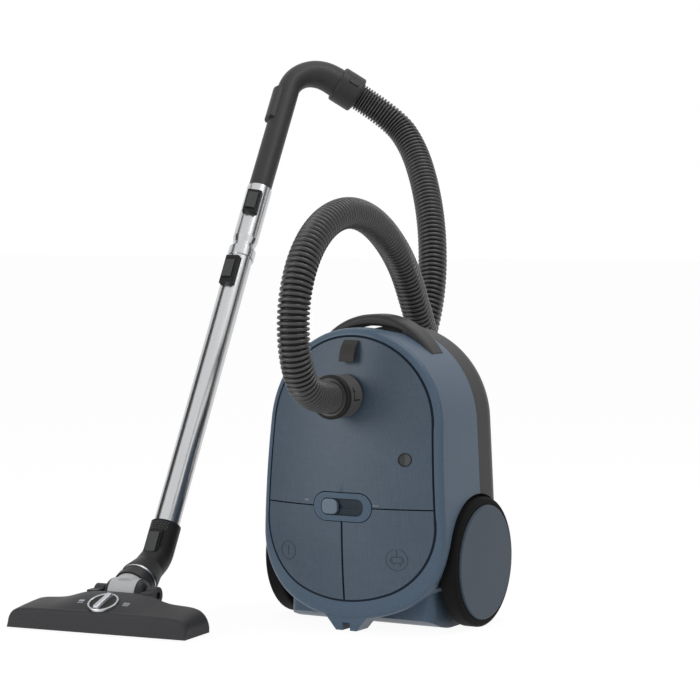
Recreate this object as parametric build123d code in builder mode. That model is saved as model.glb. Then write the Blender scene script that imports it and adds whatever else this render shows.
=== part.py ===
# Bagged canister vacuum cleaner, parked on its rear end, with hose, handle, telescopic tube and floor nozzle.
# Row frame in millimetres: origin on the floor under the wheel axle, front towards -Y, up is +Z.
import os
from math import cos, pi, radians, sin, sqrt, tan

from build123d import *

os.makedirs("parts", exist_ok=True)

# Fits
gap = 0.4
run = 0.06
wall = 3.0

# Canister outlines in the front view
seam_crown, seam_z, seam_foot, seam_side_z, seam_corner = 117.0, 261.0, 38.0, 91.0, 95.0
body_crown, body_z, body_foot, body_side_z, body_corner = 126.0, 261.0, 14.0, 72.0, 95.0
flare = 3.0
groove = 2.6

# Front skin: a barrel-shaped surface
nose_y, nose_z = -126.0, 150.0
side_r, plan_r = 900.0, 330.0
back_y = 72.0
part_y = 7.0
shoulder, heel = 9.0, 34.0

# Wheels
wheel_r, wheel_z, wheel_in, wheel_out = 84.0, 84.0, 117.0, 141.0
hub_r, cap_out = 74.0, 144.0
axle_r, axle_reach = 5.0, 47.0
well_gap, well_in = 4.0, 5.0

# Controls
split_z = 160.0
bezel_w, bezel_h = 84.0, 36.0
track_w, track_h = 61.0, 22.0
knob_w = 23.0
knob_travel = 33.0
skin_t = 3.0
deck_depth, deck_t = 38.0, 3.0
deck_y = nose_y + deck_depth
deck_half, deck_top = 107.0, 167.5

# Inlet and hose
inlet_z = 302.0
hose_r, hose_wall = 20.5, 2.0
cuff_r, cuff_end = 27.5, -157.0
plug_r = 23.0

# Wand
yaw = 5.64
lean = 32.4
tube_r, tube_wall = 17.5, 1.4
tube_top, tube_show = 545.0, 103.0
tube_rim = tube_top - tube_show
socket_r = 20.5
grip_r = 16.5

base_plane = Plane(
    origin=(-262.0, -299.5, 0),
    x_dir=(cos(radians(yaw)), sin(radians(yaw)), 0),
    z_dir=(0, 0, 1),
)


def spot(x, y, z):
    """A nozzle-frame point as a row-frame vector."""
    return base_plane.from_local_coords(Vector(x, y, z))


across = base_plane.x_dir
lean_dir = spot(0, sin(radians(lean)), cos(radians(lean))) - spot(0, 0, 0)
wand = Plane(origin=spot(0, 188.0, 109.0), x_dir=across, z_dir=lean_dir)


# Shared sketches and solids

def outline(sketch, crown, crown_z, foot, side_z, corner, inset=0.0):
    """Round crown, flared straight sides, arched foot with rounded corners."""
    lean_c, lean_s = cos(radians(flare)), sin(radians(flare))
    r = crown - inset
    top = (r * lean_c, crown_z + r * lean_s)
    low_z = side_z + inset
    low = (top[0] + (top[1] - low_z) * tan(radians(flare)), low_z)
    with BuildLine() as edge:
        Line(top, low)
        ThreePointArc(low, (0, foot + inset), (-low[0], low[1]))
        Line((-low[0], low[1]), (-top[0], top[1]))
        ThreePointArc((-top[0], top[1]), (0, crown_z + r), top)
    make_face(edge.edges())
    corners = sketch.vertices().group_by(Axis.Y)[0:2]
    low_corners = [v for g in corners for v in g if v.Y < crown_z - 20]
    fillet(low_corners, corner - inset)


def seam(sketch, inset=0.0):
    outline(sketch, seam_crown, seam_z, seam_foot, seam_side_z, seam_corner, inset)


def body(sketch, inset=0.0):
    outline(sketch, body_crown, body_z, body_foot, body_side_z, body_corner, inset)


def skin(outer, inner):
    """Band between two depths behind the front skin, as a sketch to revolve."""
    half = 170.0
    with BuildSketch(Plane.XY.offset(nose_z)) as band:
        with BuildLine():
            edge_y = []
            for depth in (outer, inner):
                r = plan_r - depth
                edge_y.append(nose_y + plan_r - sqrt(r * r - half * half))
            ThreePointArc((-half, edge_y[0]), (0, nose_y + outer), (half, edge_y[0]))
            Line((half, edge_y[0]), (half, edge_y[1]))
            ThreePointArc((half, edge_y[1]), (0, nose_y + inner), (-half, edge_y[1]))
            Line((-half, edge_y[1]), (-half, edge_y[0]))
        make_face()
    return band.sketch


def full_skin(outer):
    """Everything behind the front skin at one depth, as a sketch to revolve."""
    half = 170.0
    r = plan_r - outer
    edge_y = nose_y + plan_r - sqrt(r * r - half * half)
    with BuildSketch(Plane.XY.offset(nose_z)) as band:
        with BuildLine():
            ThreePointArc((-half, edge_y), (0, nose_y + outer), (half, edge_y))
            Polyline((half, edge_y), (half, back_y + 30), (-half, back_y + 30), (-half, edge_y))
        make_face()
    return band.sketch


barrel = Axis((0, nose_y + side_r, nose_z), (1, 0, 0))
front = Plane.XZ.offset(150.0)
deep = -100.0
sweep_deg = 60.0


def keep(band):
    """Keep what lies in a revolved skin band."""
    turned = revolve(band, axis=barrel, revolution_arc=sweep_deg, mode=Mode.PRIVATE)
    add(turned.rotate(barrel, -sweep_deg / 2), mode=Mode.INTERSECT)


def skin_y(x, z, depth=0.0):
    """Y of the front skin at a front-view point."""
    plan = nose_y + plan_r - sqrt(plan_r**2 - x * x)
    r = side_r - (plan - nose_y)
    return nose_y + side_r - sqrt(r * r - (z - nose_z) ** 2) + depth


pocket_w, pocket_z, pocket_y0, pocket_y1, pocket_r = 88.0, 352.0, -68.0, 40.0, 30.0
bar_y0, bar_y1 = -46.0, -8.0
caster_z, caster_well, caster_floor = 330.0, 26.0, 55.0

with BuildPart() as body_outer:
    with BuildSketch(Plane.XZ.offset(-back_y)) as s:
        body(s)
    extrude(amount=back_y + 150)
    keep(full_skin(0))
    fillet(body_outer.faces().sort_by(Axis.Y)[0].edges(), shoulder)
    fillet(body_outer.faces().sort_by(Axis.Y)[-1].edges(), heel)
    for side in (1, -1):
        with Locations(Location((side * (wheel_in - well_in), 0, wheel_z), (0, side * 90, 0))):
            Cylinder(wheel_r + well_gap, 60, align=(Align.CENTER, Align.CENTER, Align.MIN),
                     mode=Mode.SUBTRACT)
    with BuildSketch(Plane.XY.offset(pocket_z)):
        with Locations((0, (pocket_y0 + pocket_y1) / 2)):
            RectangleRounded(pocket_w, pocket_y1 - pocket_y0, pocket_r)
    extrude(amount=80, mode=Mode.SUBTRACT)
    with Locations(Location((0, caster_floor, caster_z), (-90, 0, 0))):
        Cylinder(caster_well, 40, align=(Align.CENTER, Align.CENTER, Align.MIN), mode=Mode.SUBTRACT)

with BuildPart() as body_inner:
    with BuildSketch(Plane.XZ.offset(wall - back_y)) as s:
        body(s, wall)
    extrude(amount=back_y + 150)
    keep(full_skin(wall))
    fillet(body_inner.faces().sort_by(Axis.Y)[0].edges(), shoulder - wall)
    fillet(body_inner.faces().sort_by(Axis.Y)[-1].edges(), heel - wall)
    for side in (1, -1):
        with Locations(Location((side * (wheel_in - well_in - wall), 0, wheel_z), (0, side * 90, 0))):
            Cylinder(wheel_r + well_gap + wall, 60,
                     align=(Align.CENTER, Align.CENTER, Align.MIN), mode=Mode.SUBTRACT)
    with BuildSketch(Plane.XY.offset(pocket_z - wall)):
        with Locations((0, (pocket_y0 + pocket_y1) / 2)):
            RectangleRounded(pocket_w + 2 * wall, pocket_y1 - pocket_y0 + 2 * wall, pocket_r + wall)
    extrude(amount=80, mode=Mode.SUBTRACT)
    with Locations(Location((0, caster_floor - wall, caster_z), (-90, 0, 0))):
        Cylinder(caster_well + wall, 60, align=(Align.CENTER, Align.CENTER, Align.MIN),
                 mode=Mode.SUBTRACT)

# Upper shell: the blue surround of the front panel
with BuildPart() as upper_shell:
    add(body_outer.part)
    add(body_inner.part, mode=Mode.SUBTRACT)
    with Locations((0, part_y, 200)):
        Box(400, 200, 600, align=(Align.CENTER, Align.MIN, Align.CENTER), mode=Mode.SUBTRACT)
    with BuildSketch(front) as s:
        seam(s)
    extrude(amount=deep, mode=Mode.SUBTRACT)
    for side in (1, -1):
        with Locations(Location((side * (wheel_in - axle_reach), 0, wheel_z), (0, side * 90, 0))):
            Cylinder(axle_r + 6, 80, align=(Align.CENTER, Align.CENTER, Align.MIN),
                     mode=Mode.SUBTRACT)
upper_shell.part.label = "upper_shell"
export_step(upper_shell.part, "parts/upper_shell.step")

# Exhaust window in the lower shell
vent_x, vent_z, vent_w, vent_h = 0.0, 96.0, 104.0, 58.0
gland_x, gland_z, gland_r = 82.0, 190.0, 8.0
screw_x, screw_z = 78.0, 236.0

with BuildPart() as lower_shell:
    add(body_outer.part)
    add(body_inner.part, mode=Mode.SUBTRACT)
    with Locations((0, part_y + gap, 200)):
        Box(400, 200, 600, align=(Align.CENTER, Align.MAX, Align.CENTER), mode=Mode.SUBTRACT)
    with Locations((vent_x, back_y, vent_z)):
        Box(vent_w, 20, vent_h, mode=Mode.SUBTRACT)
    with Locations(Location((gland_x, back_y - 12, gland_z), (-90, 0, 0))):
        Cylinder(gland_r, 30, align=(Align.CENTER, Align.CENTER, Align.MIN), mode=Mode.SUBTRACT)
    for x in (screw_x, -screw_x):
        with Locations(Location((x, back_y - 12, screw_z), (-90, 0, 0))):
            Cylinder(4.5, 30, align=(Align.CENTER, Align.CENTER, Align.MIN), mode=Mode.SUBTRACT)
    for side in (1, -1):
        with Locations(Location((side * (wheel_in - axle_reach), 0, wheel_z), (0, side * 90, 0))):
            Cylinder(axle_r + 6, 80, align=(Align.CENTER, Align.CENTER, Align.MIN),
                     mode=Mode.SUBTRACT)
    with Locations(Location((0, caster_floor - 10, caster_z), (-90, 0, 0))):
        Cylinder(5.0, 20, align=(Align.CENTER, Align.CENTER, Align.MIN), mode=Mode.SUBTRACT)
lower_shell.part.label = "lower_shell"
export_step(lower_shell.part, "parts/lower_shell.step")

# Carry handle: a broad arched bar over the finger pocket, its ends running out on the crown
bar_top, bar_t, bar_half = 403.0, 15.0, 86.0
bar_end = body_z + sqrt(body_crown**2 - bar_half**2) + 2
bar_low = bar_end - 15
rim_x = pocket_w / 2 + 0.5
rim_z = body_z + sqrt(body_crown**2 - rim_x**2) + 1
with BuildPart() as carry_handle:
    with BuildSketch(Plane.XZ.offset(-bar_y1)):
        with BuildLine():
            ThreePointArc((-bar_half, bar_end), (0, bar_top), (bar_half, bar_end))
            Polyline((bar_half, bar_end), (bar_half, bar_low), (rim_x, bar_low), (rim_x, rim_z))
            ThreePointArc((rim_x, rim_z), (0, bar_top - bar_t), (-rim_x, rim_z))
            Polyline((-rim_x, rim_z), (-rim_x, bar_low), (-bar_half, bar_low), (-bar_half, bar_end))
        make_face()
    extrude(amount=bar_y1 - bar_y0)
    arcs = carry_handle.edges().filter_by(GeomType.CIRCLE)
    fillet(arcs.filter_by(lambda e: e.center().Z > bar_top - 1), 7.0)
    arcs = carry_handle.edges().filter_by(GeomType.CIRCLE)
    fillet(arcs.filter_by(lambda e: abs(e.center().Z - bar_top + bar_t) < 1), 4.0)
    add(body_outer.part, mode=Mode.SUBTRACT)
carry_handle.part.label = "carry_handle"
export_step(carry_handle.part, "parts/carry_handle.step")

# Panel frame behind the seam, and the lid's seal on it
frame_front, frame_back = 11.5, 14.5
with BuildPart() as panel_frame:
    with BuildSketch(front) as s:
        body(s, wall + gap)
    extrude(amount=deep)
    with BuildSketch(front) as s:
        seam(s, 9.0)
    extrude(amount=deep, mode=Mode.SUBTRACT)
    keep(skin(frame_front, frame_back))
    for side in (1, -1):
        with Locations(Location((side * (wheel_in - well_in - wall - gap), 0, wheel_z), (0, side * 90, 0))):
            Cylinder(wheel_r + well_gap + wall + gap, 60,
                     align=(Align.CENTER, Align.CENTER, Align.MIN), mode=Mode.SUBTRACT)
    with Locations((0, deck_y - gap, deck_top + 8)):
        Box(400, 200, 400, align=(Align.CENTER, Align.MIN, Align.MAX), mode=Mode.SUBTRACT)
panel_frame.part.label = "panel_frame"
export_step(panel_frame.part, "parts/panel_frame.step")

seal_front = 10.4
with BuildPart() as lid_seal:
    with BuildSketch(front) as s:
        seam(s, 3.0)
        with Locations((0, split_z + 4)):
            Rectangle(400, 400, align=(Align.CENTER, Align.MAX), mode=Mode.SUBTRACT)
    extrude(amount=deep)
    with BuildSketch(front) as s:
        seam(s, 8.0)
    extrude(amount=deep, mode=Mode.SUBTRACT)
    keep(skin(seal_front, frame_front))
lid_seal.part.label = "lid_seal"
export_step(lid_seal.part, "parts/lid_seal.step")

# Control bezel: the oval island with its slider track
bezel_floor = 4.0
leg_x = 38.8
with BuildPart() as control_bezel:
    with BuildSketch(front):
        with Locations((0, split_z)):
            SlotOverall(bezel_w, bezel_h)
    extrude(amount=deep)
    keep(skin(-0.6, 8.0))
    with BuildSketch(Plane.XZ.offset(-nose_y - bezel_floor)):
        with Locations((0, split_z)):
            RectangleRounded(track_w, track_h, 9.0)
    extrude(amount=20, mode=Mode.SUBTRACT)
    with BuildSketch(Plane.XZ.offset(-nose_y - bezel_floor)):
        with Locations((0, split_z)):
            Rectangle(knob_travel + 10, 4)
    extrude(amount=-1.4, mode=Mode.SUBTRACT)
    with BuildSketch(Plane.XZ.offset(-deck_y)):
        with Locations((leg_x, split_z), (-leg_x, split_z)):
            Circle(2.0)
    extrude(amount=deck_depth - bezel_floor - 4)
control_bezel.part.label = "control_bezel"
export_step(control_bezel.part, "parts/control_bezel.step")

knob_x = -track_w / 2 + gap + 1 + knob_w / 2
with BuildPart() as power_slider:
    with BuildSketch(Plane.XZ.offset(-nose_y - bezel_floor + 0.3)):
        with Locations((knob_x, split_z)):
            RectangleRounded(knob_w, track_h - 2.4, 7.0)
    extrude(amount=bezel_floor + 1.0)
    fillet(power_slider.faces().sort_by(Axis.Y)[0].edges(), 1.6)
    with BuildSketch(Plane.XZ.offset(-nose_y - bezel_floor + 0.3)):
        with Locations((knob_x, split_z)):
            Rectangle(6.0, 3.2)
    extrude(amount=-1.3)
power_slider.part.label = "power_slider"
export_step(power_slider.part, "parts/power_slider.step")

# Pedals under the split line
post_x, post_z, post_r = 58.0, 96.0, 4.0
post_end = deck_y + deck_t + 6


def pedal(sketch, side):
    seam(sketch, groove)
    with Locations((0, split_z - 0.8)):
        Rectangle(400, 400, align=(Align.CENTER, Align.MIN), mode=Mode.SUBTRACT)
    with Locations((side * 1.3, split_z)):
        Rectangle(400, 400, align=(Align.MAX if side > 0 else Align.MIN, Align.CENTER),
                  mode=Mode.SUBTRACT)
    with Locations((0, split_z)):
        SlotOverall(bezel_w + 2.0, bezel_h + 2.0, mode=Mode.SUBTRACT)


post_len = post_end - skin_y(post_x, post_z) - skin_t / 2
with BuildPart() as power_pedal:
    with BuildSketch(front) as s:
        pedal(s, -1)
    extrude(amount=deep)
    keep(skin(0, skin_t))
    with BuildSketch(Plane.XZ.offset(-post_end)):
        with Locations((-post_x, post_z)):
            Circle(post_r)
    extrude(amount=post_len)
power_pedal.part.label = "power_pedal"
export_step(power_pedal.part, "parts/power_pedal.step")

with BuildPart() as rewind_pedal:
    with BuildSketch(front) as s:
        pedal(s, 1)
    extrude(amount=deep)
    keep(skin(0, skin_t))
    with BuildSketch(Plane.XZ.offset(-post_end)):
        with Locations((post_x, post_z)):
            Circle(post_r)
    extrude(amount=post_len)
rewind_pedal.part.label = "rewind_pedal"
export_step(rewind_pedal.part, "parts/rewind_pedal.step")

# Control deck: carries the pedal posts, the circuit board and the brake lever
lever_z, lever_pin = 146.0, 2.0
lever_x0, lever_x1 = 50.0, 66.0
lever_y = post_end + gap
board_y = nose_y + 14.0
with BuildPart() as control_deck:
    with BuildSketch(Plane.XZ.offset(-deck_y - deck_t)) as s:
        body(s, wall)
        with Locations((0, deck_top)):
            Rectangle(400, 400, align=(Align.CENTER, Align.MIN), mode=Mode.SUBTRACT)
        Rectangle(2 * deck_half, 800, mode=Mode.INTERSECT)
    extrude(amount=deck_t)
    with BuildSketch(Plane.XZ.offset(-deck_y - deck_t)):
        with Locations((post_x, post_z), (-post_x, post_z)):
            Circle(post_r + run)
    extrude(amount=deck_t, mode=Mode.SUBTRACT)
    with BuildSketch(Plane.XZ.offset(-deck_y)):
        with Locations((-31, split_z), (31, split_z)):
            Circle(3.0)
    extrude(amount=deck_y - board_y - 1.6)
    with BuildSketch(Plane.XZ.offset(-deck_y - deck_t)):
        with Locations((lever_x0 - 3, lever_z), (lever_x1 + 3, lever_z)):
            Rectangle(4, 10)
    extrude(amount=-(lever_y - deck_y - deck_t + 5))
    with Locations(Location((lever_x0 - 6, lever_y + 1.25, lever_z), (0, 90, 0))):
        Cylinder(lever_pin + run, 30, align=(Align.CENTER, Align.CENTER, Align.MIN),
                 mode=Mode.SUBTRACT)
control_deck.part.label = "control_deck"
export_step(control_deck.part, "parts/control_deck.step")

with BuildPart() as reel_brake:
    with Locations(((lever_x0 + lever_x1) / 2, lever_y, lever_z + 5)):
        Box(lever_x1 - lever_x0, 2.5, 62, align=(Align.CENTER, Align.MIN, Align.MAX))
    with Locations(Location((lever_x0 - 4.5, lever_y + 1.25, lever_z), (0, 90, 0))):
        Cylinder(lever_pin, lever_x1 - lever_x0 + 9, align=(Align.CENTER, Align.CENTER, Align.MIN))
reel_brake.part.label = "reel_brake"
export_step(reel_brake.part, "parts/reel_brake.step")

with BuildPart() as control_board:
    with Locations((0, board_y, split_z)):
        Box(72, 1.6, 26, align=(Align.CENTER, Align.MIN, Align.CENTER))
    with Locations((20, board_y + 1.6, split_z)):
        Box(14, 8, 12, align=(Align.CENTER, Align.MIN, Align.CENTER))
control_board.part.label = "control_board"
export_step(control_board.part, "parts/control_board.step")

# Lid over the dust chamber, with the inlet swell
latch_z, latch_w = 366.0, 21.0
window_x, window_z, window_r = 84.0, 223.0, 8.0
skirt_t = 2.5
inlet_y = skin_y(0, inlet_z)
swell_front = -120.5
inlet_tube_r, inlet_end = 27.0, -93.0

with BuildPart() as behind_skin:
    with BuildSketch(Plane.XZ.offset(-60)):
        with Locations((0, 200)):
            Rectangle(320, 500)
    extrude(amount=220)
    keep(full_skin(skin_t))

with BuildPart() as swell:
    with Locations(Location((0, -104, inlet_z), (90, 0, 0))):
        Cone(46, 30.5, -104 - swell_front, align=(Align.CENTER, Align.CENTER, Align.MIN))
    add(behind_skin.part, mode=Mode.SUBTRACT)

with BuildPart() as lid:
    with BuildSketch(front) as s:
        seam(s, groove)
        with Locations((0, split_z + 0.8)):
            Rectangle(400, 400, align=(Align.CENTER, Align.MAX), mode=Mode.SUBTRACT)
        with Locations((0, split_z)):
            SlotOverall(bezel_w + 2.4, bezel_h + 2.4, mode=Mode.SUBTRACT)
    extrude(amount=deep)
    keep(skin(0, seal_front - gap))
    with BuildSketch(front) as s:
        seam(s, groove + skirt_t)
        with Locations((0, split_z + 0.8)):
            Rectangle(400, 400, align=(Align.CENTER, Align.MAX), mode=Mode.SUBTRACT)
    hollow = extrude(amount=deep, mode=Mode.PRIVATE)
    add(hollow & behind_skin.part, mode=Mode.SUBTRACT)
    add(swell.part)
    with Locations(Location((0, inlet_end, inlet_z), (90, 0, 0))):
        Cylinder(inlet_tube_r, inlet_end - inlet_y - 1, align=(Align.CENTER, Align.CENTER, Align.MIN))
    with Locations(Location((0, inlet_end, inlet_z), (90, 0, 0))):
        Cylinder(plug_r, 60, align=(Align.CENTER, Align.CENTER, Align.MIN), mode=Mode.SUBTRACT)
    with BuildSketch(front):
        with Locations((window_x, window_z)):
            Circle(window_r)
        with Locations((0, latch_z)):
            Rectangle(latch_w - 6, 9)
    extrude(amount=deep, mode=Mode.SUBTRACT)
lid.part.label = "lid"
export_step(lid.part, "parts/lid.step")

with BuildPart() as bag_window:
    with BuildSketch(front):
        with Locations((window_x, window_z)):
            Circle(window_r)
    extrude(amount=deep)
    keep(skin(0.4, 2.4))
bag_window.part.label = "bag_window"
export_step(bag_window.part, "parts/bag_window.step")

flag_depth, flag_t, flag_h = 3.4, 1.0, 13.0
with BuildPart() as bag_flag:
    with BuildSketch(front):
        with Locations((window_x, window_z - window_r - 1.5 - flag_h / 2)):
            RectangleRounded(17, flag_h, 2)
    extrude(amount=deep)
    keep(skin(flag_depth, flag_depth + flag_t))
bag_flag.part.label = "bag_flag"
export_step(bag_flag.part, "parts/bag_flag.step")

# Latch tab: a curved lever through the lid
latch_y = skin_y(0, latch_z)
with BuildPart() as lid_latch:
    with BuildSketch(Plane.YZ.offset(-latch_w / 2)):
        with BuildLine():
            ThreePointArc((latch_y - 0.8, latch_z + 6), (latch_y - 10.5, latch_z - 5),
                          (latch_y - 15.5, latch_z - 21))
            Line((latch_y - 15.5, latch_z - 21), (latch_y - 11.5, latch_z - 21.5))
            ThreePointArc((latch_y - 11.5, latch_z - 21.5), (latch_y - 6.5, latch_z - 6),
                          (latch_y - 0.8, latch_z + 1))
            Line((latch_y - 0.8, latch_z + 1), (latch_y - 0.8, latch_z + 6))
        make_face()
    extrude(amount=latch_w)
    with Locations((0, latch_y - 2.4, latch_z + 2)):
        Box(latch_w - 10, 10, 4, align=(Align.CENTER, Align.MIN, Align.CENTER))
lid_latch.part.label = "lid_latch"
export_step(lid_latch.part, "parts/lid_latch.step")

# Dust bag and its holder
holder_y = inlet_end + 3.0
with BuildPart() as bag_holder:
    with BuildSketch(Plane.XZ.offset(-holder_y - 3)):
        with Locations((0, inlet_z - 4)):
            RectangleRounded(104, 80, 8)
        with Locations((0, inlet_z)):
            Circle(plug_r, mode=Mode.SUBTRACT)
    extrude(amount=3)
    for x in (44, -44):
        with Locations((x, holder_y + 3, 171)):
            Box(10, 6, inlet_z - 171, align=(Align.CENTER, Align.MIN, Align.MIN))
bag_holder.part.label = "bag_holder"
export_step(bag_holder.part, "parts/bag_holder.step")

bag_front = holder_y + 9.0
with BuildPart() as dust_bag:
    with Locations((0, bag_front, 265)):
        Box(172, 125, 150, align=(Align.CENTER, Align.MIN, Align.CENTER))
    fillet(dust_bag.edges(), 24)
    offset(amount=-1.5, mode=Mode.SUBTRACT)
    with Locations(Location((0, holder_y + 3, inlet_z), (-90, 0, 0))):
        Cylinder(plug_r + 2, 12, align=(Align.CENTER, Align.CENTER, Align.MIN))
        Cylinder(plug_r, 12, align=(Align.CENTER, Align.CENTER, Align.MIN), mode=Mode.SUBTRACT)
dust_bag.part.label = "dust_bag"
export_step(dust_bag.part, "parts/dust_bag.step")

# Bulkhead between dust chamber and motor chamber
bulk_z, bulk_t = 168.0, 3.0
motor_x, motor_y, motor_r = -46.0, -18.0, 46.0
with BuildPart() as bulkhead:
    with Locations((0, deck_y + deck_t, bulk_z)):
        Box(300, 200, bulk_t, align=(Align.CENTER, Align.MIN, Align.MIN))
    add(body_inner.part, mode=Mode.INTERSECT)
    with Locations((motor_x, motor_y, bulk_z)):
        Cylinder(30, 20, mode=Mode.SUBTRACT)
bulkhead.part.label = "bulkhead"
export_step(bulkhead.part, "parts/bulkhead.step")

with BuildPart() as motor_filter:
    with Locations((motor_x, motor_y, bulk_z + bulk_t)):
        Box(88, 88, 12, align=(Align.CENTER, Align.CENTER, Align.MIN))
    fillet(motor_filter.edges().filter_by(Axis.Z), 6)
motor_filter.part.label = "motor_filter"
export_step(motor_filter.part, "parts/motor_filter.step")

# Suction motor
motor_low = 52.0
shaft_r = 4.0
with BuildPart() as motor_housing:
    with Locations((motor_x, motor_y, motor_low)):
        Cylinder(motor_r, bulk_z - motor_low, align=(Align.CENTER, Align.CENTER, Align.MIN))
    with Locations((motor_x, motor_y, motor_low + 3)):
        Cylinder(motor_r - 3, bulk_z, align=(Align.CENTER, Align.CENTER, Align.MIN),
                 mode=Mode.SUBTRACT)
    with Locations((motor_x, motor_y, motor_low)):
        Cylinder(9, 9, align=(Align.CENTER, Align.CENTER, Align.MIN))
        Cylinder(shaft_r + run, 20, mode=Mode.SUBTRACT)
        with PolarLocations(30, 6):
            Cylinder(7, 20, mode=Mode.SUBTRACT)
motor_housing.part.label = "motor_housing"
export_step(motor_housing.part, "parts/motor_housing.step")

with BuildPart() as motor_stator:
    with Locations((motor_x, motor_y, 64)):
        Cylinder(motor_r - 3, 56, align=(Align.CENTER, Align.CENTER, Align.MIN))
        Cylinder(26, 51, align=(Align.CENTER, Align.CENTER, Align.MIN), mode=Mode.SUBTRACT)
        Cylinder(shaft_r + run, 60, align=(Align.CENTER, Align.CENTER, Align.MIN),
                 mode=Mode.SUBTRACT)
        with PolarLocations(35, 8):
            Cylinder(5, 60, align=(Align.CENTER, Align.CENTER, Align.MIN), mode=Mode.SUBTRACT)
motor_stator.part.label = "motor_stator"
export_step(motor_stator.part, "parts/motor_stator.step")

with BuildPart() as motor_rotor:
    with Locations((motor_x, motor_y, motor_low + 1)):
        Cylinder(shaft_r, 108, align=(Align.CENTER, Align.CENTER, Align.MIN))
    with Locations((motor_x, motor_y, 68)):
        Cylinder(25, 44, align=(Align.CENTER, Align.CENTER, Align.MIN))
    with Locations((motor_x, motor_y, 128)):
        Cylinder(38, 3, align=(Align.CENTER, Align.CENTER, Align.MIN))
        Cylinder(14, 20, align=(Align.CENTER, Align.CENTER, Align.MIN))
        with PolarLocations(25, 9):
            Box(25, 1.5, 18, align=(Align.CENTER, Align.CENTER, Align.MIN))
motor_rotor.part.label = "motor_rotor"
export_step(motor_rotor.part, "parts/motor_rotor.step")

# Cord reel
reel_y, reel_z, reel_r = -10.0, 90.0, 58.0
reel_x0, reel_x1 = 12.0, 68.0
reel_axle = 6.0
with BuildPart() as reel_frame:
    with Locations((reel_x0, reel_y, 0), (reel_x1 - 2, reel_y, 0)):
        Box(2, 2 * reel_r + 6, bulk_z, align=(Align.MIN, Align.CENTER, Align.MIN))
    add(body_inner.part, mode=Mode.INTERSECT)
    with Locations(Location((reel_x0, reel_y, reel_z), (0, 90, 0))):
        Cylinder(reel_axle, reel_x1 - reel_x0, align=(Align.CENTER, Align.CENTER, Align.MIN))
reel_frame.part.label = "reel_frame"
export_step(reel_frame.part, "parts/reel_frame.step")

drum_x0, drum_x1 = reel_x0 + 2 + gap, reel_x1 - 2 - gap
with BuildPart() as reel_drum:
    with Locations(Location((drum_x0, reel_y, reel_z), (0, 90, 0))):
        Cylinder(reel_r, 2, align=(Align.CENTER, Align.CENTER, Align.MIN))
        Cylinder(28, drum_x1 - drum_x0, align=(Align.CENTER, Align.CENTER, Align.MIN))
    with Locations(Location((drum_x1 - 2, reel_y, reel_z), (0, 90, 0))):
        Cylinder(reel_r, 2, align=(Align.CENTER, Align.CENTER, Align.MIN))
    with Locations(Location((reel_x0, reel_y, reel_z), (0, 90, 0))):
        Cylinder(reel_axle + run, 80, align=(Align.CENTER, Align.CENTER, Align.MIN),
                 mode=Mode.SUBTRACT)
reel_drum.part.label = "reel_drum"
export_step(reel_drum.part, "parts/reel_drum.step")

with BuildPart() as cord_coil:
    with Locations(Location((drum_x0 + 2, reel_y, reel_z), (0, 90, 0))):
        Cylinder(50, drum_x1 - drum_x0 - 4, align=(Align.CENTER, Align.CENTER, Align.MIN))
        Cylinder(28, drum_x1 - drum_x0 - 4, align=(Align.CENTER, Align.CENTER, Align.MIN),
                 mode=Mode.SUBTRACT)
cord_coil.part.label = "cord_coil"
export_step(cord_coil.part, "parts/cord_coil.step")

# Exhaust filter, grille, cord gland and screws on the back
with BuildPart() as exhaust_filter:
    with Locations((vent_x, back_y - wall - gap, vent_z)):
        Box(vent_w + 8, 14, vent_h + 8, align=(Align.CENTER, Align.MAX, Align.CENTER))
exhaust_filter.part.label = "exhaust_filter"
export_step(exhaust_filter.part, "parts/exhaust_filter.step")

grille_t = 2.4
with BuildPart() as exhaust_grille:
    with Locations((vent_x, back_y, vent_z)):
        Box(vent_w - 2 * gap, grille_t, vent_h - 2 * gap,
            align=(Align.CENTER, Align.MAX, Align.CENTER))
    fillet(exhaust_grille.edges().filter_by(Axis.X).sort_by(Axis.Z)[0:2], grille_t / 2 - 0.02)
    with Locations((vent_x, back_y, vent_z)):
        with GridLocations(12, 24, 8, 2):
            Box(5, 20, 18, mode=Mode.SUBTRACT)
exhaust_grille.part.label = "exhaust_grille"
export_step(exhaust_grille.part, "parts/exhaust_grille.step")

cord_r = 3.6
with BuildPart() as cord_gland:
    with Locations(Location((gland_x, back_y - 10, gland_z), (-90, 0, 0))):
        Cylinder(gland_r, 14, align=(Align.CENTER, Align.CENTER, Align.MIN))
    with Locations(Location((gland_x, back_y, gland_z), (-90, 0, 0))):
        Cylinder(gland_r + 3, 2.5, align=(Align.CENTER, Align.CENTER, Align.MIN))
    with Locations(Location((gland_x, back_y - 12, gland_z), (-90, 0, 0))):
        Cylinder(cord_r, 40, align=(Align.CENTER, Align.CENTER, Align.MIN), mode=Mode.SUBTRACT)
cord_gland.part.label = "cord_gland"
export_step(cord_gland.part, "parts/cord_gland.step")

with BuildPart() as housing_screws:
    for x in (screw_x, -screw_x):
        with Locations(Location((x, back_y - wall, screw_z), (-90, 0, 0))):
            Cylinder(4.5, wall, align=(Align.CENTER, Align.CENTER, Align.MIN))
        with Locations(Location((x, back_y - 24, screw_z), (-90, 0, 0))):
            Cylinder(2.2, 22, align=(Align.CENTER, Align.CENTER, Align.MIN))
housing_screws.part.label = "housing_screws"
export_step(housing_screws.part, "parts/housing_screws.step")

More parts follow.
